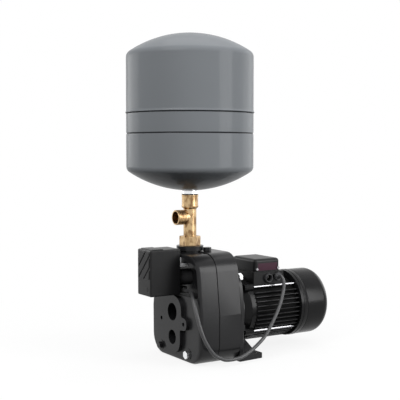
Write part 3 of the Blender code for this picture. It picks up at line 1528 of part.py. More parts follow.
def make_switch_cover():
    """The moulded cover: a box open at the back, slanting ribs on its end and a lip on its top."""
    low = (SWITCH_FRONT_X, -SWITCH_HALF, SWITCH_LOW_Z)
    high = (SWITCH_REAR_X, SWITCH_HALF, SWITCH_TOP_Z)

    def before_rear(edge):
        return min(vert.co.x for vert in edge.verts) < SWITCH_REAR_X - WELD

    cover = block("cover", low, high, SWITCH_ROUND, 2, before_rear)
    hollow = block(
        "hollow",
        (SWITCH_FRONT_X + SWITCH_WALL, -SWITCH_HALF + SWITCH_WALL, SWITCH_LOW_Z + SWITCH_WALL),
        (SWITCH_REAR_X + 0.01, SWITCH_HALF - SWITCH_WALL, SWITCH_TOP_Z - SWITCH_WALL),
    )
    across = SWITCH_HALF - RIB_EDGE
    rise = across * RIB_SLOPE
    half = RIB_HEIGHT / 2
    for number in range(RIB_COUNT):
        z = RIB_FIRST_Z + RIB_PITCH * number
        corners = [
            (-across, z + rise - half),
            (across, z - rise - half),
            (across, z - rise + half),
            (-across, z + rise + half),
        ]
        corners = between(corners, RIB_LOW_Z, SWITCH_TOP_Z - RIB_EDGE)
        fuse(cover, prism("rib", [corners], SWITCH_FRONT_X - RIB_PROUD, SWITCH_FRONT_X + 0.0005, "X"))
    lip = block(
        "lip",
        (SWITCH_FRONT_X + LIP_FRONT, -SWITCH_HALF + LIP_EDGE, SWITCH_TOP_Z - 0.001),
        (SWITCH_FRONT_X + LIP_REAR, SWITCH_HALF - LIP_EDGE, SWITCH_TOP_Z + LIP_PROUD),
    )
    fuse(cover, lip)
    place = (0, COVER_SCREW_Y, COVER_SCREW_Z)
    sink_end = SWITCH_FRONT_X + COVER_SCREW_SINK
    sink = rod("sink", COVER_SCREW_RADIUS + RUNNING, SWITCH_FRONT_X - 0.01, sink_end, at=place, sides=16)
    cut(cover, hollow, sink)
    finish(cover, "switch_cover", "switch_plastic")
    screw = rod("screw", COVER_SCREW_RADIUS, SWITCH_FRONT_X + SEAT, sink_end - SEAT, at=place, sides=16)
    finish(screw, "cover_screw", "black_plastic")


def make_switch_base():
    """The plate that closes the cover, the cord outlet under the nipple, and the lever's ears."""
    inside = SWITCH_WALL + SEAT
    plate = block(
        "plate",
        (SWITCH_BASE_FRONT_X, -SWITCH_HALF + inside, SWITCH_LOW_Z + inside),
        (SWITCH_REAR_X, SWITCH_HALF - inside, SWITCH_TOP_Z - inside),
    )
    outlet = block(
        "outlet",
        (SWITCH_REAR_X - 0.001, -OUTLET_HALF, max(OUTLET_LOW_Z, SWITCH_LOW_Z + inside)),
        (OUTLET_END_X, OUTLET_HALF, OUTLET_TOP_Z),
    )
    saddle = rod("saddle", NIPPLE_RADIUS + SEAT, SWITCH_REAR_X, 0, at=(0, 0, NIPPLE_Z), sides=28)
    bore = rod(
        "bore",
        PLUNGER_RADIUS + RUNNING,
        SWITCH_BASE_FRONT_X - 0.01,
        SWITCH_REAR_X + 0.01,
        at=(0, 0, NIPPLE_Z),
        sides=20,
    )
    fuse(plate, outlet)
    ear_gap = LEVER_HALF + SEAT
    for side in (-1, 1):
        inner = side * ear_gap
        outer = side * (ear_gap + PIN_EAR)
        ear = block(
            "ear",
            (LEVER_X - 0.004, min(inner, outer), LEVER_PIVOT_Z - 0.005),
            (SWITCH_BASE_FRONT_X + 0.001, max(inner, outer), LEVER_PIVOT_Z + 0.005),
        )
        fuse(plate, ear)
    pin_hole = rod("pin_hole", PIN_RADIUS + SEAT, -0.03, 0.03, "-Y", (LEVER_X, 0, LEVER_PIVOT_Z), 16)
    cut(plate, saddle, bore, pin_hole)
    finish(plate, "switch_base", "black_plastic")


def make_switch_inside():
    collar_end = SWITCH_BASE_FRONT_X - SEAT
    plunger = turned(
        "plunger",
        [
            (0, PLUNGER_TIP_X),
            (PLUNGER_RADIUS - 0.0015, PLUNGER_TIP_X),
            (PLUNGER_RADIUS, PLUNGER_TIP_X + 0.0015),
            (PLUNGER_RADIUS, collar_end - PLUNGER_COLLAR),
            (PLUNGER_COLLAR_RADIUS, collar_end - PLUNGER_COLLAR),
            (PLUNGER_COLLAR_RADIUS, collar_end),
            (PLUNGER_RADIUS, collar_end),
            (PLUNGER_RADIUS, SWITCH_REAR_X - SEAT),
            (0, SWITCH_REAR_X - SEAT),
        ],
        "X",
        (0, 0, NIPPLE_Z),
        20,
    )
    finish(plunger, "switch_plunger", "steel", (PLUNGER_TIP_X, 0, NIPPLE_Z))

    lever = block(
        "lever",
        (LEVER_X - LEVER_THICK / 2, -LEVER_HALF, NIPPLE_Z - 0.005),
        (LEVER_X + LEVER_THICK / 2, LEVER_HALF, LEVER_PIVOT_Z + 0.003),
    )
    pivot = (LEVER_X, 0, LEVER_PIVOT_Z)
    knuckle = rod("knuckle", PIN_RADIUS + 0.0022, -LEVER_HALF, LEVER_HALF, "-Y", pivot, 16)
    fuse(lever, knuckle)
    cut(lever, rod("bore", PIN_RADIUS + SEAT, -0.03, 0.03, "-Y", pivot, 16))
    finish(lever, "contact_lever", "copper", pivot)

    pin = rod("pin", PIN_RADIUS, -PIN_REACH, PIN_REACH, "-Y", pivot, 12)
    finish(pin, "lever_pin", "steel")


def make_nipple():
    """The switch's round pressure chamber, screwed into the back wall of the recess."""
    low = SWITCH_REAR_X + SEAT
    hidden_end = RECESS_BACK_X + CASING_WALL - 0.001
    profile = [
        (NIPPLE_BORE, low),
        (NIPPLE_RADIUS - 0.002, low),
        (NIPPLE_RADIUS, low + 0.002),
        (NIPPLE_RADIUS, hidden_end - NIPPLE_CHAMFER),
        (NIPPLE_RADIUS - NIPPLE_CHAMFER, hidden_end),
        (NIPPLE_BORE, hidden_end),
    ]
    finish(turned("nipple", profile, "X", (0, 0, NIPPLE_Z), 24), "switch_nipple", "cast_iron_paint")


def make_switch_bracket():
    """A zinc angle screwed to the back of the switch, over its nipple."""
    low_x = SWITCH_REAR_X + SEAT
    shelf_low = NIPPLE_Z + NIPPLE_RADIUS + ANGLE_LIFT
    shelf_high = shelf_low + ANGLE_SHELF_DEPTH
    end_x = low_x + ANGLE_REACH
    corners = [
        (low_x, shelf_low),
        (end_x, shelf_low),
        (end_x, shelf_high),
        (low_x + ANGLE_THICK, shelf_high),
        (low_x + ANGLE_THICK, shelf_low + ANGLE_RISE),
        (low_x, shelf_low + ANGLE_RISE),
    ]
    angle = prism("angle", [corners], ANGLE_INNER_Y, SWITCH_HALF - 0.001, "-Y")
    finish(angle, "switch_bracket", "zinc")


def make_switch_gland():
    """The cord's strain relief on the near side of the outlet."""
    face = OUTLET_HALF + SEAT
    cone = rod(
        "cone",
        0.0062,
        face,
        -CORD_ROUTE[0][1] - SEAT,
        "-Y",
        (OUTLET_CORD_X, 0, OUTLET_CORD_Z),
        16,
        CORD_RADIUS + 0.001,
    )
    finish(cone, "switch_gland", "rubber")


def smooth_route(points, spacing):
    """Points along a Catmull-Rom curve through the route, about one spacing apart."""
    points = [Vector(point) for point in points]
    ends = [points[0] * 2 - points[1]] + points + [points[-1] * 2 - points[-2]]
    fine = []
    for a, b, c, d in zip(ends, ends[1:], ends[2:], ends[3:]):
        for k in range(20):
            t = k / 20
            bend = (c - a) * t + (2 * a - 5 * b + 4 * c - d) * t**2 + (3 * b - a - 3 * c + d) * t**3
            fine.append(b + bend / 2)
    fine.append(points[-1])
    lengths = [0]
    for before, after in zip(fine, fine[1:]):
        lengths.append(lengths[-1] + (after - before).length)
    count = round(lengths[-1] / spacing)
    kept = []
    here = 0
    for k in range(count + 1):
        wanted = lengths[-1] * k / count
        while here < len(fine) - 2 and lengths[here + 1] < wanted:
            here += 1
        share = (wanted - lengths[here]) / max(lengths[here + 1] - lengths[here], 1e-9)
        kept.append(fine[here].lerp(fine[here + 1], share))
    return kept


def make_cord():
    curve = bpy.data.curves.new("cord", "CURVE")
    curve.dimensions = "3D"
    curve.bevel_depth = CORD_RADIUS
    curve.bevel_resolution = 2
    curve.use_fill_caps = True
    points = smooth_route(CORD_ROUTE[1:-1], 2.3 * CORD_RADIUS * 2)
    points = [CORD_ROUTE[0], *points, CORD_ROUTE[-1]]
    spline = curve.splines.new("POLY")
    spline.points.add(len(points) - 1)
    for point, place in zip(spline.points, points):
        point.co = (*place, 1)
    cord = put("cord", as_mesh(bpy.data.objects.new("cord", curve)))
    finish(cord, "switch_cable", "cord_rubber")


def main():
    make_casing()
    make_plug("drain_plug", DRAIN_RADIUS, DRAIN_Y, DRAIN_Z, "zinc")
    make_plug("side_plug", SIDE_PLUG_RADIUS, SIDE_PLUG_Y, SIDE_PLUG_Z, "cast_iron_paint")
    make_priming_plug()
    make_casing_gasket()
    make_bracket()
    make_bracket_bolts()
    make_diffuser()
    make_impeller()
    make_impeller_nut()
    make_seals()
    make_shaft()
    make_motor_inside()
    make_stator_frame()
    make_shields()
    make_tie_rods()
    make_fan()
    make_fan_cover()
    make_terminal_box()
    make_glands()
    make_tee()
    make_tank()
    make_tank_fittings()
    make_switch_cover()
    make_switch_base()
    make_switch_inside()
    make_nipple()
    make_switch_bracket()
    make_switch_gland()
    make_cord()


main()
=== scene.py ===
"""Looks of a deep well jet pump with its pressure switch and its diaphragm tank.

Metres, +Z up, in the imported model's frame. +X runs along the motor shaft, from the
suction ports to the fan cover, and X = 0, Y = 0 is the upright axis of the tank.
"""

import json
import math

import bmesh
import bpy
from mathutils import Matrix, Vector

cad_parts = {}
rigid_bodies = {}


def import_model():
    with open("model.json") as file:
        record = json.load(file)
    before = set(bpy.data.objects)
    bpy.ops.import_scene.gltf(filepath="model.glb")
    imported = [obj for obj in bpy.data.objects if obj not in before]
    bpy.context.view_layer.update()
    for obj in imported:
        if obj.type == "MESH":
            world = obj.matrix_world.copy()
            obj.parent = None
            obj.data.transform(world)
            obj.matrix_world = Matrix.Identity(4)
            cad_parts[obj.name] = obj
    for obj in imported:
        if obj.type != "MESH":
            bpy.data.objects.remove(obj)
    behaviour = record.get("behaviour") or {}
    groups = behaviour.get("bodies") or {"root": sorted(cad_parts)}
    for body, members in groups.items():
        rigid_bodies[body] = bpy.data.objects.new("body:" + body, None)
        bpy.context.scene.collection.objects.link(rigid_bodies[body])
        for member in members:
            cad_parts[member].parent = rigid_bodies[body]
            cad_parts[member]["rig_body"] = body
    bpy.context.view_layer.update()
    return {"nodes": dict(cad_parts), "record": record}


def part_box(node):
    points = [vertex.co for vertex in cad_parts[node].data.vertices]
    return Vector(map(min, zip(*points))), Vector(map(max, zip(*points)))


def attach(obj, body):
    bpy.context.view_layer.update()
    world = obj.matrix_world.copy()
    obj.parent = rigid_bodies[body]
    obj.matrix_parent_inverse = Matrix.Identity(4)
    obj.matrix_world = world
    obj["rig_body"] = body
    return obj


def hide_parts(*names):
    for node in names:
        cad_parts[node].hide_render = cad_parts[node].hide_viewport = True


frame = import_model()

# The body that holds still, the distance at which points merge, the area from which a face
# counts as large, and how far a cutter reaches past what it cuts
HOUSING = "pump_set"
WELD = 1e-5
LARGE_FACE = 0.001
PAST = 0.01

# Rounded edges of the solids: segments of a round, and angles in degrees. Edges under
# FLAT_ANGLE vanish, those between large faces over CREASE_ANGLE stay crisp, and those over
# SHARP_ANGLE are rounded.
ROUND_SEGMENTS = 2
FLAT_ANGLE = 0.4
CREASE_ANGLE = 3
SHARP_ANGLE = 32

# Tank
TANK_RADIUS = 0.140
TANK_CROWN = 0.240
TANK_KNUCKLE = 0.015
TANK_WALL = 0.002
TANK_SIDES = 160
CROWN_STEPS = 22
KNUCKLE_STEPS = 10
TANK_HOLLOW = 0.060
TANK_APEX_WALL = 0.004
SEAM_GAP = 0.0004
TANK_BOTTOM_Z = 0.372
TANK_TOP_Z = 0.716
BEAD_PROUD = 0.0018
BEAD_WIDTH = 0.005
GROOVE_RISE = 0.125
GROOVE_DEPTH = 0.0014
GROOVE_WIDTH = 0.005
GROOVE_Z = TANK_BOTTOM_Z + GROOVE_RISE
BEAD_Z = (TANK_BOTTOM_Z + TANK_TOP_Z) / 2

# Brass tee
TEE_LOW_Z = 0.234
TEE_TOP_Z = 0.3631
TEE_RADIUS = 0.01435
TEE_WALL = 0.0030
TEE_SOCKET_RADIUS = 0.0185
TEE_SOCKET_RISE = 0.029
TEE_SIDES = 72
BRANCH_Z = 0.313
BRANCH_END_X = -0.037
BRANCH_THREAD = 0.0235
BRANCH_RADIUS = 0.0165
BRANCH_NECK_RADIUS = 0.0135
THREAD_DEPTH = 0.0010
THREAD_PITCH = 0.0023
THREAD_TURNS = 8
THREAD_INSET = 0.0030
THREAD_FLAT = 0.00015
THREAD_SINK = 0.0004

# Fan cover
SHAFT_Z = 0.100
COVER_FRONT_X = 0.263
COVER_REAR_X = 0.341
COVER_RADIUS = 0.078
COVER_WALL = 0.002
COVER_ROUND = 0.020
COVER_SIDES = 96
ROUND_STEPS = 9
COVER_SKIN = 0.0007
COVER_RIM = 0.011
RIM_LIP = 0.0008
RIM_SLOPE = 0.0012
RIM_GROOVE = 0.0017
GROOVE_FLOOR = 0.0016
GRILLE_IN = 0.020
GRILLE_OUT = 0.052
GRILLE_SLOTS = 14
GRILLE_SLOT_WIDTH = 0.0055

# Label on the lid, its middle and its size along X and Z, and the tones of both
LABEL_PLACE = (0.1800, 0.1952)
LABEL_SIZE = (0.054, 0.0175)
LABEL_TONE = (0.045, 0.012, 0.025)
PLASTIC_TONES = ((0.008, 0.008, 0.0085), (0.012, 0.012, 0.0125))

# Cord: the route points of the solid, from the switch's outlet to the terminal box
CORD_RADIUS = 0.0039
CORD_STEPS = 8
CORD_ROUTE = [
    (-0.0285, -0.0290, 0.1548),
    (-0.0285, -0.0340, 0.1548),
    (-0.0300, -0.0470, 0.1555),
    (-0.0365, -0.0660, 0.1550),
    (-0.0435, -0.0830, 0.1475),
    (-0.0468, -0.0970, 0.1300),
    (-0.0466, -0.1080, 0.1075),
    (-0.0440, -0.1160, 0.0850),
    (-0.0376, -0.1200, 0.0645),
    (-0.0275, -0.1220, 0.0460),
    (-0.0130, -0.1220, 0.0285),
    (0.0040, -0.1210, 0.0190),
    (0.0213, -0.1195, 0.0136),
    (0.0540, -0.1165, 0.0137),
    (0.0826, -0.1130, 0.0224),
    (0.1120, -0.1090, 0.0385),
    (0.1339, -0.1050, 0.0548),
    (0.1505, -0.1010, 0.0742),
    (0.1673, -0.0970, 0.0960),
    (0.1819, -0.0925, 0.1184),
    (0.1935, -0.0865, 0.1410),
    (0.2010, -0.0790, 0.1560),
    (0.2060, -0.0700, 0.1655),
    (0.2085, -0.0610, 0.1705),
    (0.2090, -0.0560, 0.1710),
    (0.2090, -0.0527, 0.1710),
]

# Camera: focal length and frame in pixels, place and look in the model's frame
IMAGE_WIDTH = 400
FOCAL_PIXELS = 883.06
SENSOR_WIDTH = 36
CAMERA_PLACE = (-1.0123, -1.6681, 0.4576)
CAMERA_AHEAD = Vector((0.52853, 0.84891, 0))
CAMERA_RIGHT = Vector((0.84891, -0.52853, 0))
CAMERA_PITCH = 3.1404
TARGET = Vector((0.10, 0, 0.36))

# Lamps: turn and rise in degrees, distance, width and height in metres, watts
LAMPS = {
    "right_box": (125, 14, 2.2, (1.4, 1.4), 12),
    "left_box": (-119, 9, 2.2, (1.6, 0.72), 12),
    "front_box": (64, 15, 2.4, (1.1, 1.6), 41),
    "fill_box": (-30, 36, 2.6, (1.6, 1.6), 43),
    "top_box": (160, 80, 1.9, (1.8, 1.8), 13),
}


# Shader maths


class Wire:
    """A shader value that takes part in Python expressions; each one adds its Math node."""

    def __init__(self, finish, socket):
        self.finish = finish
        self.socket = socket

    def maths(self, operation, *values, **settings):
        return self.finish.node("ShaderNodeMath", {"operation": operation, **settings}, *values)

    def __add__(self, other):
        return self.maths("ADD", self, other)

    def __radd__(self, other):
        return self.maths("ADD", other, self)

    def __sub__(self, other):
        return self.maths("SUBTRACT", self, other)

    def __rsub__(self, other):
        return self.maths("SUBTRACT", other, self)

    def __mul__(self, other):
        return self.maths("MULTIPLY", self, other)

    def __rmul__(self, other):
        return self.maths("MULTIPLY", other, self)

    def __pow__(self, other):
        return self.maths("POWER", self, other)

    def size(self):
        return self.maths("ABSOLUTE", self)

    def clamped(self):
        return self.maths("MULTIPLY", self, 1.0, use_clamp=True)


class Finish:
    """A material, with one method that adds any node to its tree."""

    def __init__(self, name, world=None):
        self.owner = world or bpy.data.materials.new(name)
        self.owner.use_nodes = True
        self.tree = self.owner.node_tree
        self.tree.nodes.clear()

    def node(self, kind, settings=None, *values, output=0, **named):
        """Adds a node: its settings first, then the value or link of each socket."""
        made = self.tree.nodes.new(kind)
        for key, value in (settings or {}).items():
            if key == "stops":
                ramp = made.color_ramp
                for number, (place, colour) in enumerate(value):
                    stop = ramp.elements[number] if number < 2 else ramp.elements.new(place)
                    stop.position = place
                    stop.color = (*colour, 1)
            else:
                setattr(made, key, value)
        sockets = list(enumerate(values)) + [(key.replace("_", " "), value) for key, value in named.items()]
        for key, value in sockets:
            if isinstance(value, Wire):
                self.tree.links.new(value.socket, made.inputs[key])
            elif value is not None:
                made.inputs[key].default_value = value
        return Wire(self, made.outputs[output]) if made.outputs else None

    def place(self, scale=(1, 1, 1), turn=(0, 0, 0), shift=(0, 0, 0)):
        """Where a point of the piece is, in metres, stretched and turned for a pattern."""
        coordinates = self.node("ShaderNodeTexCoord", output="Object")
        return self.node("ShaderNodeMapping", None, coordinates, shift, turn, scale)

    def along(self, axis):
        """A point's place along X, Y or Z: 0, 1 or 2."""
        coordinates = self.node("ShaderNodeTexCoord", output="Object")
        return self.node("ShaderNodeSeparateXYZ", None, coordinates, output=axis)

    def noise(self, scale, detail=2.0, roughness=0.5, at=None):
        return self.node(
            "ShaderNodeTexNoise", None, at or self.place(), Scale=scale, Detail=detail, Roughness=roughness
        )

    def blend(self, factor, first, second):
        """One colour turning into another as factor goes from 0 to 1."""
        tints = [value if isinstance(value, Wire) else (*value, 1) for value in (first, second)]
        gaps = [None] * 5
        return self.node("ShaderNodeMix", {"data_type": "RGBA"}, factor, *gaps, *tints, output=2)

    def ramp(self, value, low, high):
        """From 0 at low to 1 at high, and smooth between."""
        settings = {"interpolation_type": "SMOOTHSTEP"}
        return self.node("ShaderNodeMapRange", settings, value, low, high)

    def background_rays(self):
        """1 for the rays that show the background: seen, mirrored and refracted ones."""
        seen = self.node("ShaderNodeLightPath", output="Is Camera Ray")
        mirrored = self.node("ShaderNodeLightPath", output="Is Glossy Ray")
        through = self.node("ShaderNodeLightPath", output="Is Transmission Ray")
        return (seen + mirrored + through).clamped()

    def bump(self, height, strength, distance, under=None):
        return self.node(
            "ShaderNodeBump", None, Height=height, Strength=strength, Distance=distance, Normal=under
        )

    def surface(
        self, colour, roughness, normal=None, metallic=0.0, specular=0.5, coat=0.0, coat_roughness=0.1
    ):
        shader = self.node(
            "ShaderNodeBsdfPrincipled",
            None,
            Base_Color=colour if isinstance(colour, Wire) else (*colour, 1),
            Roughness=roughness,
            Metallic=metallic,
            Normal=normal,
            Specular_IOR_Level=specular,
            Coat_Weight=coat,
            Coat_Roughness=coat_roughness,
        )
        self.node("ShaderNodeOutputMaterial", None, shader)
        return self.owner


# Finishes


def tank_paint():
    """Grey gloss paint with faint orange peel, and painted shade as dark lines in the groove and under the
    bead.
    """
    paint = Finish("tank_paint")
    drift = paint.noise(7.0, 3.0)
    peel = paint.noise(420.0, 2.0)
    slow = paint.noise(36.0, 2.0)
    colour = paint.blend(drift, (0.186, 0.199, 0.212), (0.202, 0.216, 0.230))
    height = paint.along(2)
    # Painted shade: near-black colour in the groove and just under the bead, where shade falls
    for line, half in ((GROOVE_Z, 0.0011), (BEAD_Z - BEAD_WIDTH / 2 - 0.0004, 0.0009)):
        painted_shade_line = paint.ramp((height - line).size(), half, half + 0.0008)
        colour = paint.blend(painted_shade_line, (0.022, 0.023, 0.025), colour)
    roughness = 0.30 + 0.08 * drift
    normal = paint.bump(peel, 0.03, 0.0003, paint.bump(slow, 0.02, 0.0012))
    return paint.surface(colour, roughness, normal, specular=0.03, coat=0.09, coat_roughness=0.03)


def casting_paint():
    """Dark satin paint over a sand casting's grain."""
    paint = Finish("casting_paint")
    drift = paint.noise(16.0, 4.0)
    grain = paint.noise(900.0, 3.0, 0.6)
    pits = paint.noise(260.0, 2.0)
    colour = paint.blend(drift, (0.011, 0.011, 0.012), (0.016, 0.016, 0.017))
    roughness = 0.24 + 0.10 * grain
    normal = paint.bump(grain, 0.12, 0.0002, paint.bump(pits, 0.10, 0.0005))
    return paint.surface(colour, roughness, normal, specular=0.22)


def motor_paint():
    """Black satin paint on a die casting, finer than on iron."""
    paint = Finish("motor_paint")
    drift = paint.noise(22.0, 3.0)
    grain = paint.noise(1300.0, 2.0)
    colour = paint.blend(drift, (0.007, 0.007, 0.0075), (0.011, 0.011, 0.0115))
    roughness = 0.18 + 0.08 * grain
    normal = paint.bump(grain, 0.08, 0.0001)
    return paint.surface(colour, roughness, normal, specular=0.13)


def fin_paint():
    """The motor's paint on the finned frame: lighter than motor_paint on the crests as a painted highlight,
    and dull with painted shade down between the fins.
    """
    paint = Finish("fin_paint")
    drift = paint.noise(22.0, 3.0)
    reach = (paint.along(1) ** 2 + (paint.along(2) - SHAFT_Z) ** 2) ** 0.5
    # Painted shade: near black down between the fins, below the crests
    crest_above_painted_shade = paint.ramp(reach, 0.064, 0.0725)
    # Painted highlight: the crest tones are lighter than the motor's own paint
    colour = paint.blend(drift, (0.014, 0.014, 0.015), (0.022, 0.022, 0.023))
    colour = paint.blend(crest_above_painted_shade, (0.002, 0.002, 0.002), colour)
    return paint.surface(colour, 0.75 - 0.45 * crest_above_painted_shade, specular=0.15)


def grained(skin, colour):
    """The even fine grain of a moulded or cast surface, over its colour."""
    grain = skin.noise(2200.0, 1.0)
    return skin.surface(colour, 0.30 + 0.10 * grain, skin.bump(grain, 0.10, 0.0001), specular=0.16)


def dark_grained(name, dark, light):
    """Moulded plastic or bare iron, with a slight drift between two tones."""
    skin = Finish(name)
    return grained(skin, skin.blend(skin.noise(30.0, 2.0), dark, light))


def brass():
    """Warm brass with faint turning rings and soft clouds of tarnish."""
    metal = Finish("brass")
    drift = metal.noise(70.0, 4.0)
    clouds = metal.noise(1.0, 2.0, 0.45, at=metal.place((130, 130, 75)))
    rings = metal.noise(1.0, 2.0, at=metal.place((60, 60, 1600)))
    clean = metal.blend(drift, (0.42, 0.27, 0.13), (0.66, 0.49, 0.28))
    colour = metal.blend(metal.ramp(clouds, 0.34, 0.62), (0.25, 0.148, 0.070), clean)
    roughness = 0.20 + 0.10 * drift + 0.10 * rings
    normal = metal.bump(rings, 0.12, 0.0002, metal.bump(clouds, 0.05, 0.0004))
    return metal.surface(colour, roughness, normal, metallic=1.0)


def zinc(name="zinc", dark=(0.82, 0.84, 0.86), light=(0.94, 0.94, 0.95)):
    """Zinc plate with a slight drift of tone."""
    metal = Finish(name)
    drift = metal.noise(120.0, 3.0)
    grain = metal.noise(900.0, 2.0)
    colour = metal.blend(drift, dark, light)
    roughness = 0.22 + 0.12 * drift
    return metal.surface(colour, roughness, metal.bump(grain, 0.08, 0.0001), metallic=1.0)


def galvanised():
    """Zinc from a hot bath: pale, dull and slightly mottled."""
    metal = Finish("galvanised")
    drift = metal.noise(260.0, 4.0)
    colour = metal.blend(drift, (0.88, 0.89, 0.90), (0.96, 0.96, 0.97))
    return metal.surface(colour, 0.38 + 0.16 * drift, metal.bump(drift, 0.1, 0.0002), metallic=0.6)


def lid_plastic():
    """The lid's black plastic, with its plum label on the near side."""
    plastic = Finish("lid_plastic")
    across = LABEL_SIZE[0] / 2 - (plastic.along(0) - LABEL_PLACE[0]).size()
    upward = LABEL_SIZE[1] / 2 - (plastic.along(2) - LABEL_PLACE[1]).size()
    near = plastic.ramp(plastic.along(1), -0.040, -0.0425)
    label = plastic.ramp(across, 0, 0.0006) * plastic.ramp(upward, 0, 0.0006) * near
    colour = plastic.blend(plastic.noise(30.0, 2.0), *PLASTIC_TONES)
    return grained(plastic, plastic.blend(label, colour, LABEL_TONE))


def turned_steel(name, dark, light, rough):
    """Machined metal with fine lathe rings round the shaft line."""
    metal = Finish(name)
    drift = metal.noise(60.0, 3.0)
    rings = metal.noise(1.0, 2.0, at=metal.place((2200, 40, 40)))
    colour = metal.blend(drift, dark, light)
    roughness = rough + 0.12 * rings
    return metal.surface(colour, roughness, metal.bump(rings, 0.12, 0.0001), metallic=1.0)


def copper():
    """Enamelled winding wire, seen as fine strands round the core."""
    wire = Finish("copper")
    strands = wire.noise(1.0, 2.0, at=wire.place((1400, 300, 300)))
    colour = wire.blend(strands, (0.36, 0.11, 0.035), (0.72, 0.30, 0.12))
    return wire.surface(colour, 0.30 + 0.15 * strands, wire.bump(strands, 0.5, 0.0005), metallic=0.7)


def rubber(name="rubber", dark=(0.017, 0.017, 0.017), light=(0.030, 0.030, 0.030), dull=0.55):
    """Dull black rubber, or a smoother jacket where dull is lower."""
    skin = Finish(name)
    drift = skin.noise(80.0, 3.0)
    grain = skin.noise(900.0, 2.0)
    colour = skin.blend(drift, dark, light)
    return skin.surface(colour, dull + 0.2 * grain, skin.bump(grain, 0.1, 0.0002), specular=0.4)


def ceramic():
    """Fired ceramic, a warm white with faint specks."""
    body = Finish("ceramic")
    specks = body.noise(500.0, 4.0, 0.7)
    colour = body.blend(specks, (0.60, 0.57, 0.50), (0.74, 0.72, 0.66))
    return body.surface(colour, 0.30 + 0.15 * specks)


FINISHES = {
    "tank_paint": tank_paint(),
    "casing_paint": casting_paint(),
    "motor_paint": motor_paint(),
    "fin_paint": fin_paint(),
    "black_plastic": dark_grained("black_plastic", *PLASTIC_TONES),
    "brass": brass(),
    "zinc": zinc(),
    "galvanised": galvanised(),
    "lid_plastic": lid_plastic(),
    "raw_iron": dark_grained("raw_iron", (0.040, 0.040, 0.042), (0.070, 0.070, 0.073)),
    "gland_plastic": dark_grained("gland_plastic", (0.050, 0.050, 0.053), (0.070, 0.070, 0.074)),
    "dull_zinc": zinc("dull_zinc", (0.20, 0.20, 0.21), (0.34, 0.34, 0.35)),
    "steel": turned_steel("steel", (0.36, 0.36, 0.37), (0.50, 0.50, 0.51), 0.30),
    "stainless": turned_steel("stainless", (0.50, 0.51, 0.52), (0.64, 0.65, 0.66), 0.18),
    "can_aluminium": turned_steel("can_aluminium", (0.56, 0.57, 0.58), (0.70, 0.71, 0.72), 0.28),
    "copper": copper(),
    "rubber": rubber(),
    "cord_rubber": rubber("cord_rubber", (0.048, 0.048, 0.050), (0.062, 0.062, 0.064), 0.26),
    "ceramic": ceramic(),
}
SLOTS = {entry["node"]: entry["material_slot"] for entry in frame["record"]["subparts"]}

# Nodes that look a little different from the rest of their material
LOOKS = {
    "tie_rod_1": "dull_zinc",
    "tie_rod_2": "dull_zinc",
    "tie_rod_3": "dull_zinc",
    "tie_rod_4": "dull_zinc",
    "lid_screw_1": "dull_zinc",
    "lid_screw_2": "dull_zinc",
    "switch_nipple": "raw_iron",
    "open_gland": "gland_plastic",
    "cable_gland": "gland_plastic",
    "terminal_lid": "lid_plastic",
    "switch_bracket": "galvanised",
    "stator_frame": "fin_paint",
}
LOW_BOLTS = [node for node in SLOTS if node.startswith("bracket_bolt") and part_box(node)[1].z < SHAFT_Z]
LOOKS.update({node: "casing_paint" for node in LOW_BOLTS})


# Shapes


def add(name, mesh, slot, body=HOUSING, stands_for=()):
    """A finished piece: its material, the body that it rides on, and the nodes it stands for."""
    piece = bpy.data.objects.new(name, mesh)
    bpy.context.scene.collection.objects.link(piece)
    looks = {LOOKS.get(node) for node in stands_for} - {None}
    piece.data.materials.clear()
    piece.data.materials.append(FINISHES[looks.pop() if looks else slot])
    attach(piece, body)
    if stands_for:
        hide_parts(*stands_for)
    return piece


def evaluated(piece):
    """The mesh that a piece's modifiers make; the piece itself goes."""
    graph = bpy.context.evaluated_depsgraph_get()
    mesh = bpy.data.meshes.new_from_object(piece.evaluated_get(graph))
    bpy.data.objects.remove(piece)
    return mesh


def loose(name, mesh):
    """A piece that isn't finished yet, for modifiers to work on."""
    piece = bpy.data.objects.new(name, mesh)
    bpy.context.scene.collection.objects.link(piece)
    return piece


def closed(mesh, smooth=40):
    """Merges doubled points, turns the faces outwards and shades the round parts smooth."""
    form = bmesh.new()
    form.from_mesh(mesh)
    bmesh.ops.remove_doubles(form, verts=form.verts, dist=WELD)
    bmesh.ops.recalc_face_normals(form, faces=form.faces)
    form.to_mesh(mesh)
    form.free()
    mesh.shade_smooth()
    mesh.set_sharp_from_angle(angle=math.radians(smooth))
    return mesh


def even(mesh):
    """Shades each large face flat, so that only the narrow faces beside it carry the round."""
    piece = loose("even", mesh)
    weighted = piece.modifiers.new("even", "WEIGHTED_NORMAL")
    weighted.keep_sharp = True
    return evaluated(piece)


ALONG_X = Matrix(((0, 0, 1, 0), (1, 0, 0, 0), (0, 1, 0, 0), (0, 0, 0, 1)))


def turned(name, profile, sides, at=(0, 0, 0), along=Matrix.Identity(4)):
    """A closed profile of (radius, height) points, turned about an axis."""
    mesh = bpy.data.meshes.new(name)
    count = len(profile)
    edges = [(i, (i + 1) % count) for i in range(count)]
    mesh.from_pydata([(r, 0, h) for r, h in profile], edges, [])
    piece = loose(name, mesh)
    screw = piece.modifiers.new("turn", "SCREW")
    screw.steps = sides
    screw.render_steps = sides
    screw.use_merge_vertices = True
    screw.merge_threshold = WELD
    solid = evaluated(piece)
    solid.transform(Matrix.Translation(at) @ along)
    return even(closed(solid))


def carved(mesh, operation, other):
    """One closed mesh joined with another, or cut by it."""
    piece = loose("carved", mesh)
    tool = loose("tool", other)
    change = piece.modifiers.new("carve", "BOOLEAN")
    change.operation = operation
    change.solver = "EXACT"
    change.object = tool
    result = evaluated(piece)
    bpy.data.objects.remove(tool)
    return result


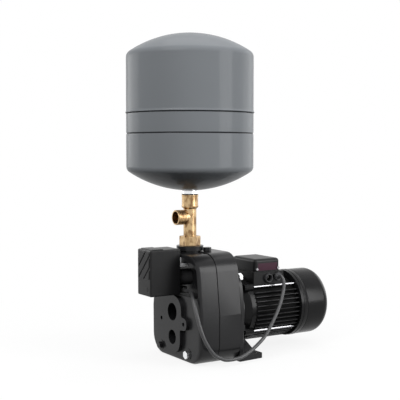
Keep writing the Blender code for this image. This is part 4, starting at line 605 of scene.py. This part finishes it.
def repeat_tree():
    """Geometry nodes: copies of a unit along a line, each one turned a little more than the last."""
    tree = bpy.data.node_groups.new("repeat", "GeometryNodeTree")
    sockets = {"Unit": "Geometry", "Count": "Int", "Start": "Vector", "Step": "Vector", "Turn": "Vector"}
    for label, kind in {**sockets, "Finish": "Material"}.items():
        tree.interface.new_socket(label, in_out="INPUT", socket_type=f"NodeSocket{kind}")
    tree.interface.new_socket("Copies", in_out="OUTPUT", socket_type="NodeSocketGeometry")

    def node(kind, **values):
        made = tree.nodes.new(kind)
        for key, value in values.items():
            if hasattr(value, "is_output"):
                tree.links.new(value, made.inputs[key.replace("_", " ")])
            else:
                setattr(made, key, value)
        return made

    given = node("NodeGroupInput").outputs
    line = node(
        "GeometryNodeMeshLine", Count=given["Count"], Start_Location=given["Start"], Offset=given["Step"]
    )
    number = node("GeometryNodeInputIndex").outputs[0]
    turns = node("ShaderNodeVectorMath", operation="SCALE", Vector=given["Turn"], Scale=number).outputs[0]
    copies = node(
        "GeometryNodeInstanceOnPoints", Points=line.outputs[0], Instance=given["Unit"], Rotation=turns
    )
    real = node("GeometryNodeRealizeInstances", Geometry=copies.outputs[0])
    dressed = node("GeometryNodeSetMaterial", Geometry=real.outputs[0], Material=given["Finish"])
    node("NodeGroupOutput", Copies=dressed.outputs[0])
    return tree


REPEAT = repeat_tree()


def repeated(unit, count, finish, start=(0, 0, 0), step=(0, 0, 0), turn=(0, 0, 0)):
    """A plain mesh of the copies."""
    piece = loose("repeated", unit)
    copies = piece.modifiers.new("copies", "NODES")
    copies.node_group = REPEAT
    values = {"Count": count, "Start": start, "Step": step, "Turn": turn, "Finish": FINISHES[finish]}
    for socket in REPEAT.interface.items_tree:
        if socket.name in values:
            copies[socket.identifier] = values[socket.name]
    return evaluated(piece)


def slot_block(width, inner, outer, low, high):
    """A slot with round ends, upright, from low to high along X."""
    half = width / 2
    outline = arc((0, outer - half), half, 0, 180, 8) + arc((0, inner + half), half, 180, 360, 8)
    mesh = bpy.data.meshes.new("slot_block")
    form = bmesh.new()
    face = form.faces.new([form.verts.new((low, y, z)) for y, z in outline])
    grown = bmesh.ops.extrude_face_region(form, geom=[face])["geom"]
    corners = [item for item in grown if isinstance(item, bmesh.types.BMVert)]
    bmesh.ops.translate(form, verts=corners, vec=(high - low, 0, 0))
    bmesh.ops.recalc_face_normals(form, faces=form.faces)
    form.to_mesh(mesh)
    form.free()
    return mesh


def arc(centre, radius, first, last, steps):
    """Points on an arc, both ends included, with its angles in degrees."""
    points = []
    for k in range(steps + 1):
        angle = math.radians(first + (last - first) * k / steps)
        points.append((centre[0] + radius * math.cos(angle), centre[1] + radius * math.sin(angle)))
    return points


def edged(mesh, width):
    """Small rounds on a mesh's sharp edges, with the flat faces kept flat in the shading."""
    mesh.shade_smooth()
    piece = loose("edging", mesh)
    bevel = piece.modifiers.new("edges", "BEVEL")
    bevel.width = width
    bevel.segments = ROUND_SEGMENTS
    bevel.limit_method = "ANGLE"
    bevel.angle_limit = math.radians(SHARP_ANGLE)
    flat = piece.modifiers.new("flat", "WEIGHTED_NORMAL")
    flat.keep_sharp = True
    return evaluated(piece)


def refined(node, width):
    """A finer copy of a solid: its flat faces are made whole and its edges are rounded."""
    mesh = frame["nodes"][node].data.copy()
    form = bmesh.new()
    form.from_mesh(mesh)
    bmesh.ops.remove_doubles(form, verts=form.verts, dist=WELD)
    bmesh.ops.dissolve_limit(form, angle_limit=math.radians(FLAT_ANGLE), verts=form.verts, edges=form.edges)
    for edge in form.edges:
        large = len(edge.link_faces) == 2 and min(face.calc_area() for face in edge.link_faces) > LARGE_FACE
        if large and edge.calc_face_angle() > math.radians(CREASE_ANGLE):
            edge.smooth = False
    form.to_mesh(mesh)
    form.free()
    body = frame["nodes"][node].get("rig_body")
    return add(node + "_fine", edged(mesh, width), SLOTS[node], body, (node,))


# Tank


def dished_head():
    """The pressed head of the tank as (radius, rise) points, from its apex to the wall."""
    centre_r = TANK_RADIUS - TANK_KNUCKLE
    reach = TANK_CROWN - TANK_KNUCKLE
    drop = math.sqrt(reach**2 - centre_r**2)
    join = math.degrees(math.asin(centre_r / reach))
    crown = arc((0, TANK_CROWN), TANK_CROWN, -90, -90 + join, CROWN_STEPS)
    knuckle = arc((centre_r, TANK_CROWN - drop), TANK_KNUCKLE, -90 + join, 0, KNUCKLE_STEPS)
    return crown + knuckle[1:]


def make_tank():
    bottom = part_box("tank_lower_shell")[0].z
    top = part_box("tank_upper_shell")[1].z
    seam = (bottom + top) / 2
    inner = TANK_RADIUS - TANK_WALL
    head = dished_head()
    half = BEAD_WIDTH / 2
    lip = seam - half
    upper = [(r, top - rise) for r, rise in head]
    upper += [(TANK_RADIUS, seam + half + 0.002)]
    for share in (0.35, 0.8, 1):
        upper += [(TANK_RADIUS + BEAD_PROUD * share, seam + half - 0.0005 - 0.0022 * share)]
    upper += [(TANK_RADIUS + BEAD_PROUD, lip + 0.0012), (TANK_RADIUS + BEAD_PROUD - 0.0006, lip)]
    upper += [(inner, lip), (inner, top - TANK_HOLLOW), (0, top - TANK_APEX_WALL)]
    add("tank_top", turned("tank_top", upper, TANK_SIDES), "tank_paint", HOUSING, ("tank_upper_shell",))

    groove = bottom + GROOVE_RISE
    wide = GROOVE_WIDTH / 2
    lower = [(r, bottom + rise) for r, rise in head]
    lower += [(TANK_RADIUS, groove - wide)]
    for side, depth in ((-0.45, 0.6), (0, 1), (0.45, 0.6)):
        lower += [(TANK_RADIUS - GROOVE_DEPTH * depth, groove + wide * side)]
    edge = lip - SEAM_GAP
    lower += [(TANK_RADIUS, groove + wide), (TANK_RADIUS, lip - 0.0018), (TANK_RADIUS - 0.001, edge)]
    lower += [(inner, edge), (inner, bottom + TANK_HOLLOW), (0, bottom + TANK_APEX_WALL)]
    add("tank_bottom", turned("tank_bottom", lower, TANK_SIDES), "tank_paint", HOUSING, ("tank_lower_shell",))


# Brass tee


def make_tee():
    """The tee in fine rounds, with the pipe thread of its side branch."""
    socket_low = TEE_TOP_Z - TEE_SOCKET_RISE
    outer = [
        (0, TEE_LOW_Z),
        (TEE_RADIUS - 0.0002, TEE_LOW_Z),
        (TEE_RADIUS, TEE_LOW_Z + 0.038),
        (TEE_RADIUS, socket_low - 0.003),
        (TEE_RADIUS + 0.0012, socket_low - 0.0016),
        (TEE_SOCKET_RADIUS - 0.0012, socket_low - 0.0002),
        (TEE_SOCKET_RADIUS, socket_low + 0.0012),
        (TEE_SOCKET_RADIUS, socket_low + 0.0050),
        (TEE_SOCKET_RADIUS - 0.0005, socket_low + 0.0056),
        (TEE_SOCKET_RADIUS - 0.0005, TEE_TOP_Z - 0.0052),
        (TEE_SOCKET_RADIUS, TEE_TOP_Z - 0.0046),
        (TEE_SOCKET_RADIUS, TEE_TOP_Z - 0.0008),
        (TEE_SOCKET_RADIUS - 0.0008, TEE_TOP_Z),
        (0, TEE_TOP_Z),
    ]
    tee = turned("tee", outer, TEE_SIDES)
    place = (0, 0, BRANCH_Z)
    thread_end = BRANCH_END_X + BRANCH_THREAD
    root = BRANCH_RADIUS - THREAD_DEPTH
    branch = [
        (0, BRANCH_END_X),
        (BRANCH_RADIUS - 0.0006, BRANCH_END_X),
        (BRANCH_RADIUS, BRANCH_END_X + 0.0006),
        (BRANCH_RADIUS, BRANCH_END_X + 0.0012),
        (root, BRANCH_END_X + 0.0020),
        (root, thread_end - 0.0020),
        (BRANCH_NECK_RADIUS + 0.0004, thread_end + 0.0006),
        (BRANCH_NECK_RADIUS, thread_end + 0.0016),
        (BRANCH_NECK_RADIUS, 0.002),
        (0, 0.002),
    ]
    tee = carved(tee, "UNION", turned("branch", branch, TEE_SIDES + 4, place, ALONG_X))
    bore = TEE_RADIUS - TEE_WALL
    socket_bore = TEE_SOCKET_RADIUS - TEE_WALL
    water_way = [
        (0, TEE_LOW_Z - PAST),
        (bore, TEE_LOW_Z - PAST),
        (bore, socket_low + 0.002),
        (socket_bore, socket_low + 0.006),
        (socket_bore, TEE_TOP_Z + PAST),
        (0, TEE_TOP_Z + PAST),
    ]
    tee = carved(tee, "DIFFERENCE", turned("water_way", water_way, TEE_SIDES - 4))
    mouth = BRANCH_RADIUS - TEE_WALL
    throat = BRANCH_NECK_RADIUS - TEE_WALL
    side_way = [
        (0, BRANCH_END_X - PAST),
        (mouth, BRANCH_END_X - PAST),
        (mouth, thread_end - 0.003),
        (throat, thread_end),
        (throat, 0),
        (0, 0),
    ]
    tee = carved(tee, "DIFFERENCE", turned("side_way", side_way, TEE_SIDES - 6, place, ALONG_X))
    add("tee_fine", even(closed(tee, 30)), "brass", HOUSING, ("brass_tee",))

    half = THREAD_PITCH / 2
    ridge = [(root - THREAD_SINK, -half), (BRANCH_RADIUS, -THREAD_FLAT)]
    ridge += [(radius, -height) for radius, height in reversed(ridge)]
    ring = turned("ring", ridge, TEE_SIDES, (0, 0, 0), ALONG_X)
    first = (BRANCH_END_X + THREAD_INSET, 0, BRANCH_Z)
    thread = repeated(ring, THREAD_TURNS, "brass", first, (THREAD_PITCH, 0, 0))
    add("branch_thread", thread, "brass")


# Fan cover


def arc_back(radius, rear, corner, first, last):
    """The round between a cup's wall and its floor."""
    return arc((radius - corner, rear - corner), corner, first, last, ROUND_STEPS)


def make_fan_cover():
    """A deep drawn cup with a rolled front rim and a ring of round-ended air slots."""
    outer = COVER_RADIUS - COVER_SKIN
    inner = COVER_RADIUS - COVER_WALL
    rim = COVER_FRONT_X + COVER_RIM
    low = COVER_RADIUS - RIM_GROOVE
    floor_end = rim + GROOVE_FLOOR
    profile = [(inner, COVER_FRONT_X + RIM_LIP), (COVER_RADIUS - RIM_LIP, COVER_FRONT_X)]
    profile += [(COVER_RADIUS, COVER_FRONT_X + RIM_LIP), (COVER_RADIUS, rim - RIM_SLOPE)]
    profile += [(low, rim), (low, floor_end), (outer, floor_end + RIM_SLOPE)]
    profile += arc_back(outer, COVER_REAR_X, COVER_ROUND, 0, 90)
    profile += [(0, COVER_REAR_X), (0, COVER_REAR_X - COVER_WALL)]
    profile += arc_back(inner, COVER_REAR_X - COVER_WALL, COVER_ROUND - COVER_WALL, 90, 0)
    cover = turned("cover", profile, COVER_SIDES, (0, 0, SHAFT_Z), ALONG_X)
    near, far = COVER_REAR_X - PAST, COVER_REAR_X + PAST
    cutter = slot_block(GRILLE_SLOT_WIDTH, GRILLE_IN, GRILLE_OUT, near, far)
    turn = (2 * math.pi / GRILLE_SLOTS, 0, 0)
    cutter.transform(Matrix.Rotation(math.pi / GRILLE_SLOTS, 4, "X"))
    slots = repeated(cutter, GRILLE_SLOTS, "motor_paint", (0, 0, SHAFT_Z), (0, 0, 0), turn)
    cover = carved(cover, "DIFFERENCE", slots)
    add("cover_fine", even(closed(cover, 30)), "motor_paint", HOUSING, ("fan_cover",))


# Cord


def smooth_route(points, steps):
    """Points along a Catmull-Rom curve through the route."""
    points = [Vector(point) for point in points]
    ends = [points[0] * 2 - points[1]] + points + [points[-1] * 2 - points[-2]]
    route = []
    for a, b, c, d in zip(ends, ends[1:], ends[2:], ends[3:]):
        for k in range(steps):
            t = k / steps
            bend = (2 * a - 5 * b + 4 * c - d) * t**2 + (3 * b - a - 3 * c + d) * t**3
            route.append((2 * b + (c - a) * t + bend) / 2)
    route.append(points[-1])
    return route


def make_cord():
    path = smooth_route(CORD_ROUTE, CORD_STEPS)
    curve = bpy.data.curves.new("cord", "CURVE")
    curve.dimensions = "3D"
    curve.bevel_depth = CORD_RADIUS
    curve.bevel_resolution = 6
    curve.use_fill_caps = True
    spline = curve.splines.new("POLY")
    spline.points.add(len(path) - 1)
    for point, place in zip(spline.points, path):
        point.co = (*place, 1)
    mesh = closed(evaluated(loose("cord_line", curve)))
    cord = add("switch_cord", mesh, "cord_rubber", HOUSING, ("switch_cable",))
    length = sum((after - before).length for before, after in zip(path, path[1:]))


# Stage


def make_floor():
    mesh = bpy.data.meshes.new("floor")
    form = bmesh.new()
    bmesh.ops.create_grid(form, size=40, x_segments=1, y_segments=1)
    form.to_mesh(mesh)
    form.free()
    floor = bpy.data.objects.new("floor", mesh)
    floor.location.z = -0.0002
    bpy.context.scene.collection.objects.link(floor)
    paper = Finish("floor_paper")
    mask = paper.background_rays()
    dark = paper.node("ShaderNodeBsdfDiffuse", None, (0.05, 0.05, 0.05, 1))
    pale = paper.node("ShaderNodeBsdfDiffuse", None, (0.90, 0.90, 0.90, 1))
    white = paper.node("ShaderNodeEmission", None, (1, 1, 1, 1), 1.0)
    spot = paper.node("ShaderNodeTexCoord", output="Object")
    distance = paper.node("ShaderNodeVectorMath", {"operation": "LENGTH"}, spot, output="Value")
    plain = 0.84 + 0.16 * paper.ramp(distance, 0.30, 0.90)
    shown = paper.node("ShaderNodeMixShader", None, plain, pale, white)
    both = paper.node("ShaderNodeMixShader", None, mask, dark, shown)
    paper.node("ShaderNodeOutputMaterial", None, both)
    floor.data.materials.append(paper.owner)


def make_world():
    world = bpy.data.worlds.new("studio")
    bpy.context.scene.world = world
    sky = Finish("studio", world)
    mask = sky.background_rays()
    direction = sky.node("ShaderNodeTexCoord", output="Generated")
    rise = sky.node("ShaderNodeSeparateXYZ", None, direction, output=2)
    low = sky.node("ShaderNodeBackground", None, (0.04, 0.04, 0.04, 1), 1.0)
    high = sky.node("ShaderNodeBackground", None, (0.34, 0.34, 0.34, 1), 1.0)
    dim = sky.node("ShaderNodeMixShader", None, sky.ramp(rise, -0.1, 0.5), low, high)
    white = sky.node("ShaderNodeBackground", None, (1, 1, 1, 1), 1.0)
    both = sky.node("ShaderNodeMixShader", None, mask, dim, white)
    sky.node("ShaderNodeOutputWorld", None, both)


def softbox(name, turn, rise, distance, size, watts):
    """An area lamp turned from the camera's side towards its right, and raised, in degrees."""
    angle = math.radians(turn)
    lift = math.radians(rise)
    level = -CAMERA_AHEAD * math.cos(angle) + CAMERA_RIGHT * math.sin(angle)
    lamp = bpy.data.lights.new(name, "AREA")
    lamp.shape = "RECTANGLE"
    lamp.size, lamp.size_y = size
    lamp.energy = watts
    holder = bpy.data.objects.new(name, lamp)
    away = level * math.cos(lift) + Vector((0, 0, math.sin(lift)))
    holder.location = TARGET + away * distance
    holder.rotation_euler = (-away).to_track_quat("-Z", "Y").to_euler()
    bpy.context.scene.collection.objects.link(holder)


def make_camera():
    lens = bpy.data.cameras.new("camera")
    lens.sensor_width = SENSOR_WIDTH
    lens.lens = FOCAL_PIXELS / IMAGE_WIDTH * SENSOR_WIDTH
    camera = bpy.data.objects.new("camera", lens)
    camera.location = CAMERA_PLACE
    look = CAMERA_AHEAD.normalized() - Vector((0, 0, math.tan(math.radians(CAMERA_PITCH))))
    camera.rotation_euler = look.to_track_quat("-Z", "Y").to_euler()
    bpy.context.scene.collection.objects.link(camera)
    bpy.context.scene.camera = camera


def dress_nodes():
    """Every solid that stays gets its finish."""
    for node, solid in frame["nodes"].items():
        solid.data.materials.clear()
        solid.data.materials.append(FINISHES[LOOKS.get(node, SLOTS[node])])


# The solids that get rounded edges, with the width of each round
FINE_EDGES = {
    "pump_casing": 0.0012,
    "motor_bracket": 0.0010,
    "front_shield": 0.0008,
    "rear_shield": 0.0004,
    "stator_frame": 0.0004,
    "terminal_base": 0.0005,
    "terminal_lid": 0.0007,
    "open_gland": 0.0003,
    "cable_gland": 0.0003,
    "union_nut": 0.0004,
    "tank_neck": 0.0003,
    "switch_cover": 0.0007,
    "switch_base": 0.0004,
    "switch_nipple": 0.0005,
    "switch_bracket": 0.0003,
    "drain_plug": 0.0004,
    "side_plug": 0.0004,
    "priming_plug": 0.0004,
}


def main():
    make_camera()
    make_world()
    make_floor()
    for name, settings in LAMPS.items():
        softbox(name, *settings)
    bpy.context.scene.view_settings.view_transform = "Standard"
    make_cord()
    dress_nodes()
    make_tank()
    make_tee()
    make_fan_cover()
    for node, width in FINE_EDGES.items():
        refined(node, width)


main()
